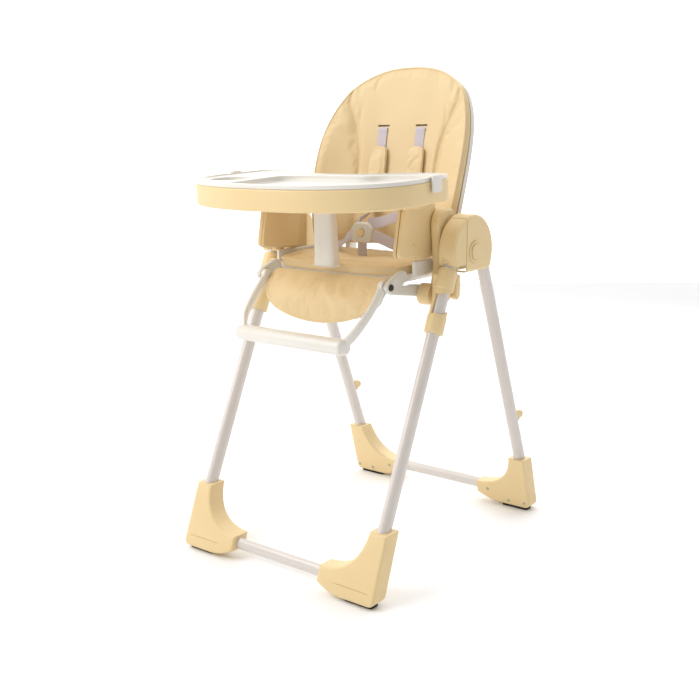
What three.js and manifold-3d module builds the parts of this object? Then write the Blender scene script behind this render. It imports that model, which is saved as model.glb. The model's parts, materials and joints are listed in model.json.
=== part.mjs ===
// Folding baby high chair. Millimetres, +Z up. The child faces -Y, so the child's left is +X.
// The origin is on the floor, under the middle of the chair.
import * as THREE from 'three';
import { mergeVertices } from 'three/addons/utils/BufferGeometryUtils.js';
import Module from 'manifold-3d';

const wasm = await Module();
wasm.setup();

// ---------- driving dimensions ----------
const GAP = 0.3; // running and assembly gap between touching pieces
const LEG_X = 256; // plane of each pair of legs
const TUBE_DEEP = 34; // oval leg tube, front to back
const TUBE_WIDE = 26; // oval leg tube, across the chair
const FRONT_LEAN = THREE.MathUtils.degToRad(24.3); // from vertical
const REAR_LEAN = THREE.MathUtils.degToRad(22.4);
const FRONT_FOOT_Y = -340; // where the front leg's line meets the floor
const REAR_FOOT_Y = 389;
const HUB = { y: 31, z: 712, radius: 82, wall: 3, inner: 236, outer: 282 };
const BOOT = { outer: 280, inner: 126, top: 150, deep: 50, sole: 8, arm: 58, legStop: 70 };
const CROSSBAR = { tall: 28, deep: 21 };
const SEAT = { halfWidth: 190, front: -120, rear: 104, top: 692, pad: 25 };
const BACK = { pivotY: 130, pivotZ: 690, bottom: 704, widest: 900, top: 1124, halfWidth: 204 };
const BACK_PAD = 22;
const LEGREST = { hingeY: -158, hingeZ: 646, halfWidth: 158, pad: 20, shell: 6 };
const FOOTREST = { barY: -266, barZ: 529, armX: 167, barHalf: 149 };
const BRACKET = { x: 176.5, thick: 12 };
const TRAY = { halfWidth: 280, front: -375, rear: -38, z: 824, tilt: 3, band: 46 }; // tilt: down to the front
const POST = { y: -146, deep: 30, wide: 56, long: 146 };

const DEG = Math.PI / 180;
const ROUND_OFF = 0.46; // how far the corners of a square are drawn in towards a round end (0.5 is a circle)
const SIDES = [['left', 1], ['right', -1]];

// ---------- finishes ----------
const finish = (color, roughness, metalness = 0) =>
  new THREE.MeshStandardMaterial({ color, roughness, metalness });
const cream = finish(0xe9cf9f, 0.45);
const leatherette = finish(0xecd3a8, 0.55);
const white = finish(0xeeeae2, 0.4);
const silver = finish(0xcfc8c2, 0.35, 0.6);
const steel = finish(0xb9b9b9, 0.3, 0.9);
const rubber = finish(0x2b2926, 0.9);
const webbing = finish(0xcfc6c9, 0.85);
const darkPlastic = finish(0x2a2a2c, 0.5);
const greyPlastic = finish(0xcfccc6, 0.45);

// ---------- solids: joining and cutting ----------
function indexed(geometry) {
  const bare = geometry.clone();
  bare.deleteAttribute('normal');
  bare.deleteAttribute('uv');
  return mergeVertices(bare, 1e-3);
}

function toSolid(geometry) {
  const merged = indexed(geometry);
  return new wasm.Manifold(new wasm.Mesh({
    numProp: 3,
    vertProperties: new Float32Array(merged.attributes.position.array),
    triVerts: new Uint32Array(merged.index.array),
  }));
}

function toGeometry(solid) {
  const { vertProperties, triVerts } = solid.getMesh();
  const geometry = new THREE.BufferGeometry();
  geometry.setAttribute('position', new THREE.BufferAttribute(vertProperties, 3));
  geometry.setIndex(new THREE.BufferAttribute(triVerts, 1));
  return geometry;
}

const join = (...pieces) => toGeometry(pieces.map(toSolid).reduce((a, b) => a.add(b)));
const cut = (piece, ...tools) => toGeometry(tools.map(toSolid).reduce((a, b) => a.subtract(b), toSolid(piece)));
const common = (piece, other) => toGeometry(toSolid(piece).intersect(toSolid(other)));

// The piece for the other side of the chair, with its faces still pointing out.
function onSide(geometry, side) {
  if (side > 0) return geometry;
  const flipped = indexed(geometry);
  flipped.scale(-1, 1, 1);
  const index = flipped.index.array;
  for (let i = 0; i < index.length; i += 3) {
    [index[i], index[i + 1]] = [index[i + 1], index[i]];
  }
  return flipped;
}

// ---------- outlines and basic forms ----------
// A closed outline through corner points, each corner rounded by a curve that starts `radius` away.
function rounded(points, radius) {
  const corners = points.map(([x, y]) => new THREE.Vector2(x, y));
  const shape = new THREE.Shape();
  corners.forEach((corner, i) => {
    const before = corners[(i + corners.length - 1) % corners.length];
    const after = corners[(i + 1) % corners.length];
    const reach = (other) => Math.min(radius, corner.distanceTo(other) * 0.4);
    const start = corner.clone().lerp(before, reach(before) / corner.distanceTo(before));
    const end = corner.clone().lerp(after, reach(after) / corner.distanceTo(after));
    if (i === 0) shape.moveTo(start.x, start.y);
    else shape.lineTo(start.x, start.y);
    shape.quadraticCurveTo(corner.x, corner.y, end.x, end.y);
  });
  shape.closePath();
  return shape;
}

function oval(width, height, x = 0, y = 0) {
  const shape = new THREE.Shape();
  shape.absellipse(x, y, width / 2, height / 2, 0, Math.PI * 2);
  return shape;
}

// A slab of an outline, from 0 to thickness along its own Z, with its edges eased by `edge`.
function slab(shape, thickness, edge = 0, curveSegments = 4) {
  const geometry = new THREE.ExtrudeGeometry(shape, {
    depth: thickness - 2 * edge,
    bevelEnabled: edge > 0,
    bevelThickness: edge,
    bevelSize: edge,
    bevelOffset: -edge,
    bevelSegments: 1,
    curveSegments,
  });
  return geometry.translate(0, 0, edge);
}

// Turn a slab so that its outline's (x, y) lie along the chair's (Y, Z) and it is thick along +X.
const SIDE_ON = new THREE.Matrix4().makeBasis(
  new THREE.Vector3(0, 1, 0), new THREE.Vector3(0, 0, 1), new THREE.Vector3(1, 0, 0));
const sideOn = (geometry, x) => geometry.applyMatrix4(SIDE_ON).translate(x, 0, 0);

// Turn a slab so that its outline's (x, y) lie along the chair's (X, Z), from y back to y - thickness.
const FACING = new THREE.Matrix4().makeBasis(
  new THREE.Vector3(1, 0, 0), new THREE.Vector3(0, 0, 1), new THREE.Vector3(0, -1, 0));
const facing = (geometry, y) => geometry.applyMatrix4(FACING).translate(0, y, 0);

// A round bar along X.
function barX(radius, from, to, y, z, segments = 20) {
  const bar = new THREE.CylinderGeometry(radius, radius, to - from, segments);
  return bar.rotateZ(Math.PI / 2).translate((from + to) / 2, y, z);
}

function box(x0, x1, y0, y1, z0, z1) {
  const block = new THREE.BoxGeometry(x1 - x0, y1 - y0, z1 - z0);
  return block.translate((x0 + x1) / 2, (y0 + y1) / 2, (z0 + z1) / 2);
}

// An oval tube or bore along a leg: `grow` is added all round, from and to are heights.
function alongLeg(leg, from, to, grow = 0, growX = grow) {
  const length = (to - from) / Math.cos(leg.lean);
  const tube = slab(oval(TUBE_WIDE + 2 * growX, TUBE_DEEP + 2 * grow), length, 0, 9);
  tube.rotateX(leg.turn);
  return tube.translate(LEG_X, leg.at(from), from);
}

const FRONT = {
  lean: FRONT_LEAN,
  turn: -FRONT_LEAN,
  at: (z) => FRONT_FOOT_Y + Math.tan(FRONT_LEAN) * z,
  soleShift: 12, // the sole stands this far inside the leg's line
};
const REAR = {
  lean: REAR_LEAN,
  turn: REAR_LEAN,
  at: (z) => REAR_FOOT_Y - Math.tan(REAR_LEAN) * z,
  soleShift: -20,
};

// A sheet of even thickness on a surface(u, v), with u in -1..1 across and v in 0..1 along.
// It fills the space from `near` to `far` along the surface's normal.
function panel(surface, near, far, across, along) {
  const geometry = new THREE.BoxGeometry(2, 1, 1, across, 1, along);
  const position = geometry.attributes.position;
  const step = 1e-3;
  for (let i = 0; i < position.count; i += 1) {
    const u = position.getX(i);
    const v = position.getZ(i) + 0.5;
    const depth = position.getY(i) > 0 ? far : near;
    const point = surface(u, v);
    const acrossSlope = surface(u + step, v).sub(surface(u - step, v));
    const alongSlope = surface(u, v + step).sub(surface(u, v - step));
    const normal = alongSlope.cross(acrossSlope).normalize();
    point.addScaledVector(normal, depth);
    position.setXYZ(i, point.x, point.y, point.z);
  }
  return indexed(geometry);
}

function add(group, name, geometry, material) {
  const mesh = new THREE.Mesh(geometry, material);
  mesh.name = name;
  group.add(mesh);
  return mesh;
}

// ---------- frame ----------
function legTube(leg, bottom, top) {
  return alongLeg(leg, bottom, top);
}

// An L-shaped moulded foot: a sleeve up the leg and an arm along the crossbar, leaning with the leg.
function boot(leg, crossbarY, crossbarZ) {
  const { outer, inner, top, deep, sole, arm, legStop } = BOOT;
  const outline = new THREE.Shape();
  outline.moveTo(outer - 16, sole);
  outline.lineTo(188, sole);
  outline.quadraticCurveTo(inner + 30, sole + 2, inner, sole + 18);
  outline.lineTo(inner, arm);
  outline.quadraticCurveTo(224, arm + 4, 234, top);
  outline.lineTo(outer - 1, top);
  outline.lineTo(outer, sole + 16);
  outline.quadraticCurveTo(outer, sole, outer - 16, sole);
  const body = facing(slab(outline, deep, 4, 4), deep / 2);
  const position = body.attributes.position;
  for (let i = 0; i < position.count; i += 1) {
    const z = position.getZ(i);
    position.setY(i, position.getY(i) + leg.at(z) + leg.soleShift * (1 - z / top) ** 2);
  }
  const socket = crossbar(inner + 40, crossbarY, crossbarZ, GAP);
  return cut(body, alongLeg(leg, legStop - 1, top + 40, GAP), socket);
}

function crossbar(halfLength, y, z, grow = 0) {
  const { tall, deep } = CROSSBAR;
  const bar = slab(oval(deep + 2 * grow, tall + 2 * grow), 2 * (halfLength + grow), 0, 8);
  return sideOn(bar, -halfLength - grow).translate(0, y, z);
}

function footPad(leg, from, to) {
  const y = leg.at(BOOT.sole) + leg.soleShift;
  const outline = rounded([[from, y - 14], [to, y - 14], [to, y + 14], [from, y + 14]], 8);
  return slab(outline, BOOT.sole - GAP, 1, 3);
}

// A peg behind the rear leg that holds the tray when it is off the chair.
function trayHook() {
  const z = 273;
  const y = REAR.at(z);
  const saddle = box(LEG_X - 10, LEG_X + 10, y + 8, y + 26, z - 13, z + 13);
  const peg = barX(9, LEG_X - 8, LEG_X + 10, y + 33, z, 16);
  return cut(join(saddle, peg), alongLeg(REAR, z - 60, z + 60, GAP));
}

// ---------- folding hub ----------
// The round housing's side outline, inset by `inset`, with a nearly flat bottom.
function hubOutline(inset, front, rear = 400) {
  const { y, z, radius } = HUB;
  const r = radius - inset;
  const bottom = z - 44 + inset;
  const outline = new THREE.Shape();
  const start = Math.asin((bottom + 16 - z) / r);
  outline.absarc(y, z, r, start, Math.PI - start, false);
  outline.quadraticCurveTo(y - r + 6, bottom, y - r + 24, bottom);
  outline.lineTo(y + r - 24, bottom);
  outline.closePath();
  const whole = sideOn(slab(outline, 200, 0, 12), 180);
  return common(whole, box(170, 390, front, rear, 500, 900));
}

const HUB_SEAM_Y = HUB.y - 33;

// The outer shell of the hub: a dish over the rear leg's hinge, open at the bottom and lower rear.
function hubCover() {
  const { y, z, wall, inner, outer } = HUB;
  const outside = common(hubOutline(0, HUB_SEAM_Y + GAP), box(inner + wall + GAP, outer, -400, 400, 500, 900));
  const cavity = common(hubOutline(wall, HUB_SEAM_Y - 20), box(inner - 5, outer - wall, -400, 400, 500, 900));
  const legWay = box(LEG_X - TUBE_WIDE / 2 - 3, LEG_X + TUBE_WIDE / 2 + 9, HUB_SEAM_Y + 8, 140, 600, 737);
  const buttonHole = barX(24 + GAP, outer - 12, outer + 5, y, z, 32);
  return cut(outside, cavity, legWay, buttonHole);
}

// The front leg's socket with the hub's inner wall in one moulding.
function hubSocket() {
  const { y, z, wall, inner, outer } = HUB;
  const wallPlate = common(hubOutline(0, -400), box(inner, inner + wall, -400, 400, 500, 900));
  const nose = common(hubOutline(0, -400, HUB_SEAM_Y), box(inner, outer, -400, 400, 500, 900));
  const sleeve = alongLeg(FRONT, 686, 762, 5, 6);
  const slot = box(LEG_X - 40, LEG_X + 40, y - 8, 400, 500, 900);
  const sleeveFront = cut(sleeve, common(slot, box(inner + wall, 400, -400, 400, 500, 900)));
  const bore = alongLeg(FRONT, 640, 748, GAP);
  const pinHole = barX(6 + GAP, inner - 10, inner + 20, y, z, 20);
  const sliderRoom = box(200, 300, -400, HUB_SEAM_Y, 500, 686);
  return cut(join(cut(join(wallPlate, nose), sliderRoom), sleeveFront), bore, pinHole);
}

const PLATE_X = LEG_X + TUBE_WIDE / 2 + 0.6; // outer side of the rear leg's tube

// A steel plate that carries the rear leg on the hub's pin, inside the cover.
function rearHingePlate() {
  const { y, z } = HUB;
  const footZ = 704;
  const legY = REAR.at(footZ);
  const disc = barX(18, PLATE_X, PLATE_X + 4, y, z, 28);
  const arm = sideOn(slab(rounded([
    [y - 10, z - 14], [legY + 8, footZ - 16], [legY + 8, footZ + 18], [y - 10, z + 14],
  ], 8), 4, 0, 4), PLATE_X);
  return cut(join(disc, arm), barX(6 + GAP, PLATE_X - 5, PLATE_X + 15, y, z, 20));
}

function hubPin() {
  const { y, z, inner } = HUB;
  return join(
    barX(6, inner - 6, PLATE_X + 4.4, y, z, 20),
    barX(10, inner - 6, inner - GAP, y, z, 20),
  );
}

function foldButton() {
  const { y, z, outer } = HUB;
  return join(
    barX(24, outer - 6, outer + 3, y, z, 32),
    barX(19, outer + 2, outer + 5, y, z, 32),
  );
}

// ---------- seat carriage ----------
// A two-ring slider on the front leg. Its outer side is open between the rings.
function heightCarriage() {
  const body = alongLeg(FRONT, 544, 676, 5.5);
  const upperRing = alongLeg(FRONT, 634, 673, 7);
  const lowerRing = alongLeg(FRONT, 544, 582, 7);
  const windowBox = box(LEG_X - 4, LEG_X + 60, -400, 400, 586, 630);
  const lug = box(229 + GAP, 250, -60, -28, 610, 670);
  return cut(join(cut(body, windowBox), upperRing, lowerRing, lug), alongLeg(FRONT, 500, 720, GAP));
}

// The squeeze lever behind the carriage that frees it to slide.
function heightLever() {
  const top = FRONT.at(668) + 30;
  const outline = rounded([
    [top, 664], [top + 14, 662], [top + 13, 616], [top + 4, 606], [top - 8, 612], [top - 5, 640],
  ], 6);
  return sideOn(slab(outline, 15, 2, 3), LEG_X - 8);
}

// The side plate that carries the seat on the slider, with a round boss below.
function seatBracket() {
  const plate = sideOn(slab(rounded([
    [-42, 600], [22, 598], [40, 640], [44, 780], [28, 806], [-22, 806], [-38, 780], [-26, 680],
  ], 14), 22, 4, 3), 207);
  const boss = barX(24, 189 + GAP, 220, -36, 619, 24);
  return join(plate, boss);
}

function seatShell() {
  const { halfWidth, front, rear, top, pad } = SEAT;
  const floor = top - pad - GAP;
  const w = halfWidth + 2;
  const section = rounded([
    [-w - 8, top + 4], [-w - 8, floor - 4], [-w + 20, floor - 20], [w - 20, floor - 20],
    [w + 8, floor - 4], [w + 8, top + 4], [w, top + 4], [w, floor], [-w, floor], [-w, top + 4],
  ], 5);
  return facing(slab(section, rear - front - 36, 1.5, 3), rear);
}

function seatPad() {
  const { halfWidth, front, rear, top, pad } = SEAT;
  const surface = (u, v) => {
    const taper = 1 - 0.1 * (1 - v) ** 3;
    const dish = 5 * (1 - u * u) * Math.sin(Math.PI * v);
    return new THREE.Vector3(
      u * (halfWidth - 2) * taper,
      front + 18 * Math.abs(u) ** 4 * (1 - v) + (rear - front - 18 * Math.abs(u) ** 4 * (1 - v)) * v,
      top - dish - 6 * (1 - v) ** 4,
    );
  };
  const flatBottom = box(-400, 400, -400, 400, 500, top - pad + GAP / 2);
  return cut(panel(surface, 0, pad + 4, 10, 6), flatBottom);
}

function armrest() {
  const outline = rounded([[-150, 708], [-18, 698], [-6, 806], [-16, 826], [-112, 821], [-130, 812]], 14);
  return sideOn(slab(outline, 20, 5, 4), 184.5);
}

// ---------- backrest ----------
// The depth of the pad's front at a place on it: upright at the bottom, its sides curving forward.
function backDepth(x, z) {
  const { bottom, top, halfWidth } = BACK;
  const rise = (z - bottom) / (top - bottom);
  const wing = (92 - 58 * rise) * Math.abs(x / halfWidth) ** 2.6;
  return 112 + 54 * rise + 22 * rise * rise - wing;
}

// The pad's front: widening to its widest line, then a full rounded top, an oval of power 2.3.
function backSurface(u, v) {
  const { bottom, widest, top, halfWidth } = BACK;
  const split = 0.45; // share of v below the widest line
  let x;
  let z;
  if (v < split) {
    const t = v / split;
    x = u * (halfWidth - 23 * (1 - t) ** 2);
    z = bottom + (widest - bottom) * t;
  } else {
    const t = (v - split) / (1 - split);
    const across = u * Math.sqrt(1 - ROUND_OFF * t * t);
    const up = t * Math.sqrt(1 - ROUND_OFF * u * u);
    const radius = Math.hypot(across, up) || 1;
    const fullness = 1 / ((Math.abs(across) / radius) ** 2.3 + (up / radius) ** 2.3) ** (1 / 2.3);
    x = halfWidth * across * fullness;
    z = widest + (top - widest) * up * fullness;
  }
  return new THREE.Vector3(x, backDepth(x, z), z);
}

const backrestPad = () => panel(backSurface, 0, BACK_PAD, 10, 10);

// A sheet behind the pad, with two ears that reach down to the recline pivot.
function backrestShell() {
  const { pivotY, pivotZ } = BACK;
  const ear = sideOn(slab(rounded([
    [pivotY - 16, pivotZ - 14], [pivotY + 16, pivotZ - 14], [pivotY + 4, 790], [pivotY - 22, 790],
  ], 10), 14, 0, 4), 130);
  const sheet = panel(backSurface, BACK_PAD + 1, BACK_PAD + 9, 10, 10);
  const padRoom = panel(backSurface, 0, BACK_PAD + 2 * GAP, 10, 10);
  const pivotHole = barX(5 + GAP, -200, 200, pivotY, pivotZ, 16);
  return cut(join(sheet, ear, onSide(ear, -1)), padRoom, pivotHole);
}

// The release lever behind the backrest: close to the shell at the top, flared for fingers below.
function reclineLever() {
  const outline = rounded([[160, 800], [167, 800], [175, 744], [168, 738], [161, 744], [154, 772]], 4);
  return sideOn(slab(outline, 76, 2, 3), -38);
}

// ---------- legrest and footrest ----------
// The pad's front: a convex curve from under the seat's lip, forward and down to the rounded end.
const LEGREST_CURVE = new THREE.QuadraticBezierCurve(
  new THREE.Vector2(-126, 664), new THREE.Vector2(-188, 636), new THREE.Vector2(-191, 558));

function legrestSurface(u, v) {
  const { halfWidth } = LEGREST;
  const split = 0.45; // share of v above the rounded end
  let x;
  let along;
  if (v < split) {
    x = u * halfWidth;
    along = v;
  } else {
    const t = (v - split) / (1 - split);
    x = u * halfWidth * Math.sqrt(1 - ROUND_OFF * t * t);
    along = split + (1 - split) * t * Math.sqrt(1 - ROUND_OFF * u * u);
  }
  const p = LEGREST_CURVE.getPoint(Math.max(0, Math.min(1, along)));
  return new THREE.Vector3(x, p.x, p.y);
}

const legrestPad = () => panel(legrestSurface, -LEGREST.pad, 0, 10, 8);
const legrestShell = () => cut(
  panel(legrestSurface, -LEGREST.pad - 3 - LEGREST.shell, -LEGREST.pad - 3, 10, 8),
  panel(legrestSurface, -LEGREST.pad - 2 * GAP, 0, 10, 8),
);

// The light side bracket, fixed to the seat, whose front end carries the legrest and the footrest.
function legrestBracket() {
  const { hingeY, hingeZ } = LEGREST;
  const { x, thick } = BRACKET;
  const outline = rounded([
    [-40, 612], [-40, 640], [-86, 643], [-94, 674], [-112, 678], [hingeY, hingeZ + 15],
    [hingeY - 16, hingeZ], [hingeY, hingeZ - 15], [-100, 622],
  ], 10);
  const hole = rounded([[-76, 640], [-118, 645], [-84, 662]], 5);
  const arm = sideOn(slab(outline, thick, 2, 3), x);
  const opening = sideOn(slab(hole, thick + 20, 0, 3), x - 10);
  const buttonSeat = barX(7 + GAP, x + 6, x + thick + 5, hingeY, hingeZ, 18);
  return cut(arm, opening, buttonSeat);
}

function legrestButton() {
  const { x, thick } = BRACKET;
  return barX(7, x + 9.5, x + thick + 4, LEGREST.hingeY, LEGREST.hingeZ, 18);
}

// A U: a broad bar for the feet and two arms that curve up to the pivots.
function footrest() {
  const { barY, barZ, armX, barHalf } = FOOTREST;
  const { hingeY, hingeZ } = LEGREST;
  const arm = (side) => new THREE.ExtrudeGeometry(oval(13, 22), {
    extrudePath: new THREE.CatmullRomCurve3([
      new THREE.Vector3(side * armX, hingeY - 4, hingeZ - 5),
      new THREE.Vector3(side * armX, -203, 598),
      new THREE.Vector3(side * (armX - 8), -240, 562),
      new THREE.Vector3(side * (barHalf - 8), barY + 2, barZ + 2),
    ]),
    steps: 9,
    curveSegments: 4,
  });
  const bar = sideOn(slab(rounded([[-20, -14], [12, -19], [23, -6], [18, 15], [-14, 18], [-24, 4]], 9),
    2 * barHalf, 5, 2), -barHalf).translate(0, barY, barZ);
  const eye = (side) => barX(13, side * armX - 6.5, side * armX + 6.5, hingeY, hingeZ, 18);
  return join(bar, arm(1), arm(-1), eye(1), eye(-1));
}

// ---------- tray, in its own tilted frame: z 0 is its underside ----------
const TRAY_MID = -150; // the y of the tray frame's origin on the chair
const trayY = (y) => y - TRAY_MID;

// The plan outline: a broad rounded front, straight sides and a hollow at the back for the child.
function trayOutline(inset) {
  const w = TRAY.halfWidth - inset;
  const front = trayY(TRAY.front) + inset;
  const rear = trayY(TRAY.rear) - inset;
  const side = trayY(-190);
  const depth = side - front;
  const power = 2 / 2.35;
  const outline = new THREE.Shape();
  const points = 14;
  outline.moveTo(w, side);
  for (let i = 1; i <= points; i += 1) {
    const a = -Math.PI * i / points;
    const c = Math.cos(a);
    const s = Math.sin(-a);
    outline.lineTo(w * Math.sign(c) * Math.abs(c) ** power, side - depth * s ** power);
  }
  outline.lineTo(-w + 8, rear - 40);
  outline.quadraticCurveTo(-w + 12, rear, -w + 46, rear);
  outline.quadraticCurveTo(-w + 96, rear, -112, rear - 40);
  outline.quadraticCurveTo(-60, rear - 74 + inset * 0.4, 0, rear - 74 + inset * 0.4);
  outline.quadraticCurveTo(60, rear - 74 + inset * 0.4, 112, rear - 40);
  outline.quadraticCurveTo(w - 96, rear, w - 46, rear);
  outline.quadraticCurveTo(w - 12, rear, w - 8, rear - 40);
  outline.closePath();
  return outline;
}

// An open tub that carries the insert, with two channels below that ride on the armrests.
function trayBase() {
  const { band } = TRAY;
  const body = slab(trayOutline(0), band, 5, 3);
  const hollow = slab(trayOutline(4), band, 0, 3).translate(0, 0, 8);
  const armX = 194.5;
  const railGuide = (side) => join(
    box(side * armX - 20, side * armX + 20, trayY(-140), trayY(-60), -3, 1),
    box(side * armX - 20, side * armX - 11.5, trayY(-140), trayY(-60), -16, 1),
    box(side * armX + 11.5, side * armX + 20, trayY(-140), trayY(-60), -16, 1),
  );
  return join(cut(body, hollow), railGuide(1), railGuide(-1));
}

// The lift-off inner tray: a rim over the tub's edge, a main hollow and a cup hollow.
function trayInsert() {
  const { band } = TRAY;
  const rimTop = band + 9;
  const body = join(
    slab(trayOutline(4 + GAP), rimTop - 8 - GAP, 0, 3).translate(0, 0, 8 + GAP),
    slab(trayOutline(2), rimTop - band - GAP, 3, 3).translate(0, 0, band + GAP),
  );
  const under = slab(trayOutline(8), 34, 0, 3);
  const main = slab(rounded([[-112, -196], [0, -212], [170, -186], [252, -110], [262, 30], [238, 62],
    [128, 52], [96, 18], [-70, 14], [-120, -10]], 34), 40, 0, 4)
    .translate(0, 0, rimTop - 16);
  const cup = slab(oval(92, 92, -190, -92), 40, 0, 10).translate(0, 0, rimTop - 18);
  return cut(body, under, main, cup);
}

// A white snap clip, hinged on the insert's rim, that closes over the tub's side.
const TRAY_CLIP = { x: TRAY.halfWidth + 1, y: -128, long: 34 };

function trayClip() {
  const { x, y, long } = TRAY_CLIP;
  const top = TRAY.band + 9;
  return join(
    box(x - 6, x + 4, trayY(y) - long / 2, trayY(y) + long / 2, top + GAP, top + 3),
    box(x, x + 4, trayY(y) - long / 2, trayY(y) + long / 2, 24, top + 2),
  );
}

function crotchPost() {
  const { y, deep, wide, long } = POST;
  const body = new THREE.CylinderGeometry(0.5, 0.58, long, 20).rotateX(Math.PI / 2);
  body.scale(wide - 6, deep, 1).translate(0, trayY(y), -long / 2 - GAP);
  return body;
}

function trayLatch() {
  return box(214.8, 232, trayY(-128), trayY(-96), -14, -GAP);
}

// ---------- harness ----------
const STRAP = { x: 55, wide: 26, thick: 2 };

// A strip that follows the backrest pad's front, `off` in front of it.
function alongBack(x, halfWidth, from, to, off, thick) {
  const surface = (u, v) => {
    const across = x + u * halfWidth;
    const z = from + (to - from) * v;
    return new THREE.Vector3(across, backDepth(across, z), z);
  };
  return panel(surface, -off - thick, -off, 2, 8);
}

const shoulderStrap = () => alongBack(STRAP.x, STRAP.wide / 2, 796, 985, 1, STRAP.thick);
const shoulderPad = () => alongBack(STRAP.x, 23, 806, 936, 1 + STRAP.thick + GAP, 12);

const BUCKLE = { y: -6, z: 742 };

function buckleBody() {
  const { y, z } = BUCKLE;
  const outline = rounded([[-27, z - 24], [27, z - 24], [30, z + 10], [16, z + 24], [-16, z + 24], [-30, z + 10]], 7);
  const body = facing(slab(outline, 15, 3, 3), y + 8);
  return cut(body, facing(slab(oval(20.6, 20.6, 0, z), 9, 0, 6), y - 1));
}

const buckleButton = () => facing(slab(oval(20, 20, 0, BUCKLE.z), 6, 1, 6), BUCKLE.y - 4.5);

function crotchStrap() {
  const { y, z } = BUCKLE;
  return box(-STRAP.wide / 2, STRAP.wide / 2, y - 1, y + 1, SEAT.top - 4, z - 24 - GAP);
}

// ---------- assembly ----------
const chair = new THREE.Group();
const tray = new THREE.Group();
tray.position.set(0, TRAY_MID, TRAY.z);
tray.rotation.x = TRAY.tilt * DEG;
chair.add(tray);

const FRONT_BAR = { y: FRONT.at(38) + 7, z: 38 };
const REAR_BAR = { y: REAR.at(44) - 9, z: 44 };

add(chair, 'front_crossbar', crossbar(BOOT.inner + 38, FRONT_BAR.y, FRONT_BAR.z), silver);
add(chair, 'rear_crossbar', crossbar(BOOT.inner + 38, REAR_BAR.y, REAR_BAR.z), silver);
add(chair, 'seat_shell', seatShell(), white);
add(chair, 'seat_pad', seatPad(), leatherette);
add(chair, 'backrest_pad', backrestPad(), leatherette);
add(chair, 'backrest_shell', backrestShell(), white);
add(chair, 'recline_lever', reclineLever(), cream);
add(chair, 'legrest_pad', legrestPad(), leatherette);
add(chair, 'legrest_shell', legrestShell(), greyPlastic);
add(chair, 'footrest', footrest(), white);
add(chair, 'crotch_strap', crotchStrap(), webbing);
add(chair, 'buckle_body', buckleBody(), greyPlastic);
add(chair, 'buckle_button', buckleButton(), cream);
add(tray, 'tray_base', trayBase(), cream);
add(tray, 'tray_insert', trayInsert(), white);
add(tray, 'crotch_post', crotchPost(), white);

for (const [name, side] of SIDES) {
  const put = (piece, geometry, material, group = chair) =>
    add(group, `${piece}_${name}`, onSide(geometry, side), material);
  put('front_leg', legTube(FRONT, BOOT.legStop, 746), silver);
  put('rear_leg', legTube(REAR, BOOT.legStop, 728), silver);
  put('front_boot', boot(FRONT, FRONT_BAR.y, FRONT_BAR.z), cream);
  put('rear_boot', boot(REAR, REAR_BAR.y, REAR_BAR.z), cream);
  put('front_foot_pad', footPad(FRONT, 196, 270), rubber);
  put('rear_foot_pad', footPad(REAR, 196, 270), rubber);
  put('tray_hook', trayHook(), cream);
  put('hub_socket', hubSocket(), cream);
  put('hub_cover', hubCover(), cream);
  put('hub_pin', hubPin(), steel);
  put('rear_hinge_plate', rearHingePlate(), steel);
  put('fold_button', foldButton(), cream);
  put('height_carriage', heightCarriage(), cream);
  put('height_lever', heightLever(), cream);
  put('seat_bracket', seatBracket(), cream);
  put('armrest', armrest(), cream);
  put('legrest_bracket', legrestBracket(), greyPlastic);
  put('legrest_button', legrestButton(), darkPlastic);
  put('shoulder_strap', shoulderStrap(), webbing);
  put('shoulder_pad', shoulderPad(), leatherette);
  put('tray_clip', trayClip(), white, tray);
  put('tray_latch', trayLatch(), cream, tray);
}

// The origin is under the middle of the chair's outline.
const outlineBox = new THREE.Box3().setFromObject(chair, true);
chair.position.y = -(outlineBox.min.y + outlineBox.max.y) / 2;

export default chair;
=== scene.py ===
import json
import math
import bmesh
import bpy
from mathutils import Matrix, Vector, noise


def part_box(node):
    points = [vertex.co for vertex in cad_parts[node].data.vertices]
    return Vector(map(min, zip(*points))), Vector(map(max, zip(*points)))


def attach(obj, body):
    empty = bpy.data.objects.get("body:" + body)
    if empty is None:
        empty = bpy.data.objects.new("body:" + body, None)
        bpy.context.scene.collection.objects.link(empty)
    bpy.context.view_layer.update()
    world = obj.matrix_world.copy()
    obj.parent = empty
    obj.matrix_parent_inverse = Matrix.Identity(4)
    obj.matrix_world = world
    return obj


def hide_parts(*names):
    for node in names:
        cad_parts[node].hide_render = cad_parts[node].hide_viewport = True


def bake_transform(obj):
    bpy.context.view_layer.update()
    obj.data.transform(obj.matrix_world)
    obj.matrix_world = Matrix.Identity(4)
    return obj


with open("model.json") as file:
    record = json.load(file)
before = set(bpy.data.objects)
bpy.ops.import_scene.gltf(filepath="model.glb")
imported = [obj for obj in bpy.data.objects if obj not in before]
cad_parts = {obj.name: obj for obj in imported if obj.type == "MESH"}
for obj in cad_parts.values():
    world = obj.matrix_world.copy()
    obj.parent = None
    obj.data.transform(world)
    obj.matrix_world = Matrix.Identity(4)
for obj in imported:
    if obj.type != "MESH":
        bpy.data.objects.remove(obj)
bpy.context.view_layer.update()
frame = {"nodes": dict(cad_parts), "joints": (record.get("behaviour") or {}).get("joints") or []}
scene = bpy.context.scene
scene.view_settings.view_transform = "Standard"

# ---------- studio ----------
# A pale floor and a glowing white screen behind the chair, under soft daylight: a broad key light
# from the front and above, a weak fill from the child's left, and lights above and behind.
FLOOR_HALF = 30.0
LIGHTS = (
    # name, place, size, watts
    ("key", (-1.5, -2.5, 2.6), 2.4, 70),
    ("fill", (2.9, -1.0, 1.5), 2.4, 3),
    ("top", (0.2, 0.2, 3.4), 2.8, 24),
    ("behind", (-0.6, 2.8, 2.0), 2.2, 22),
)
AIM = Vector((0, 0, 0.6))

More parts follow.
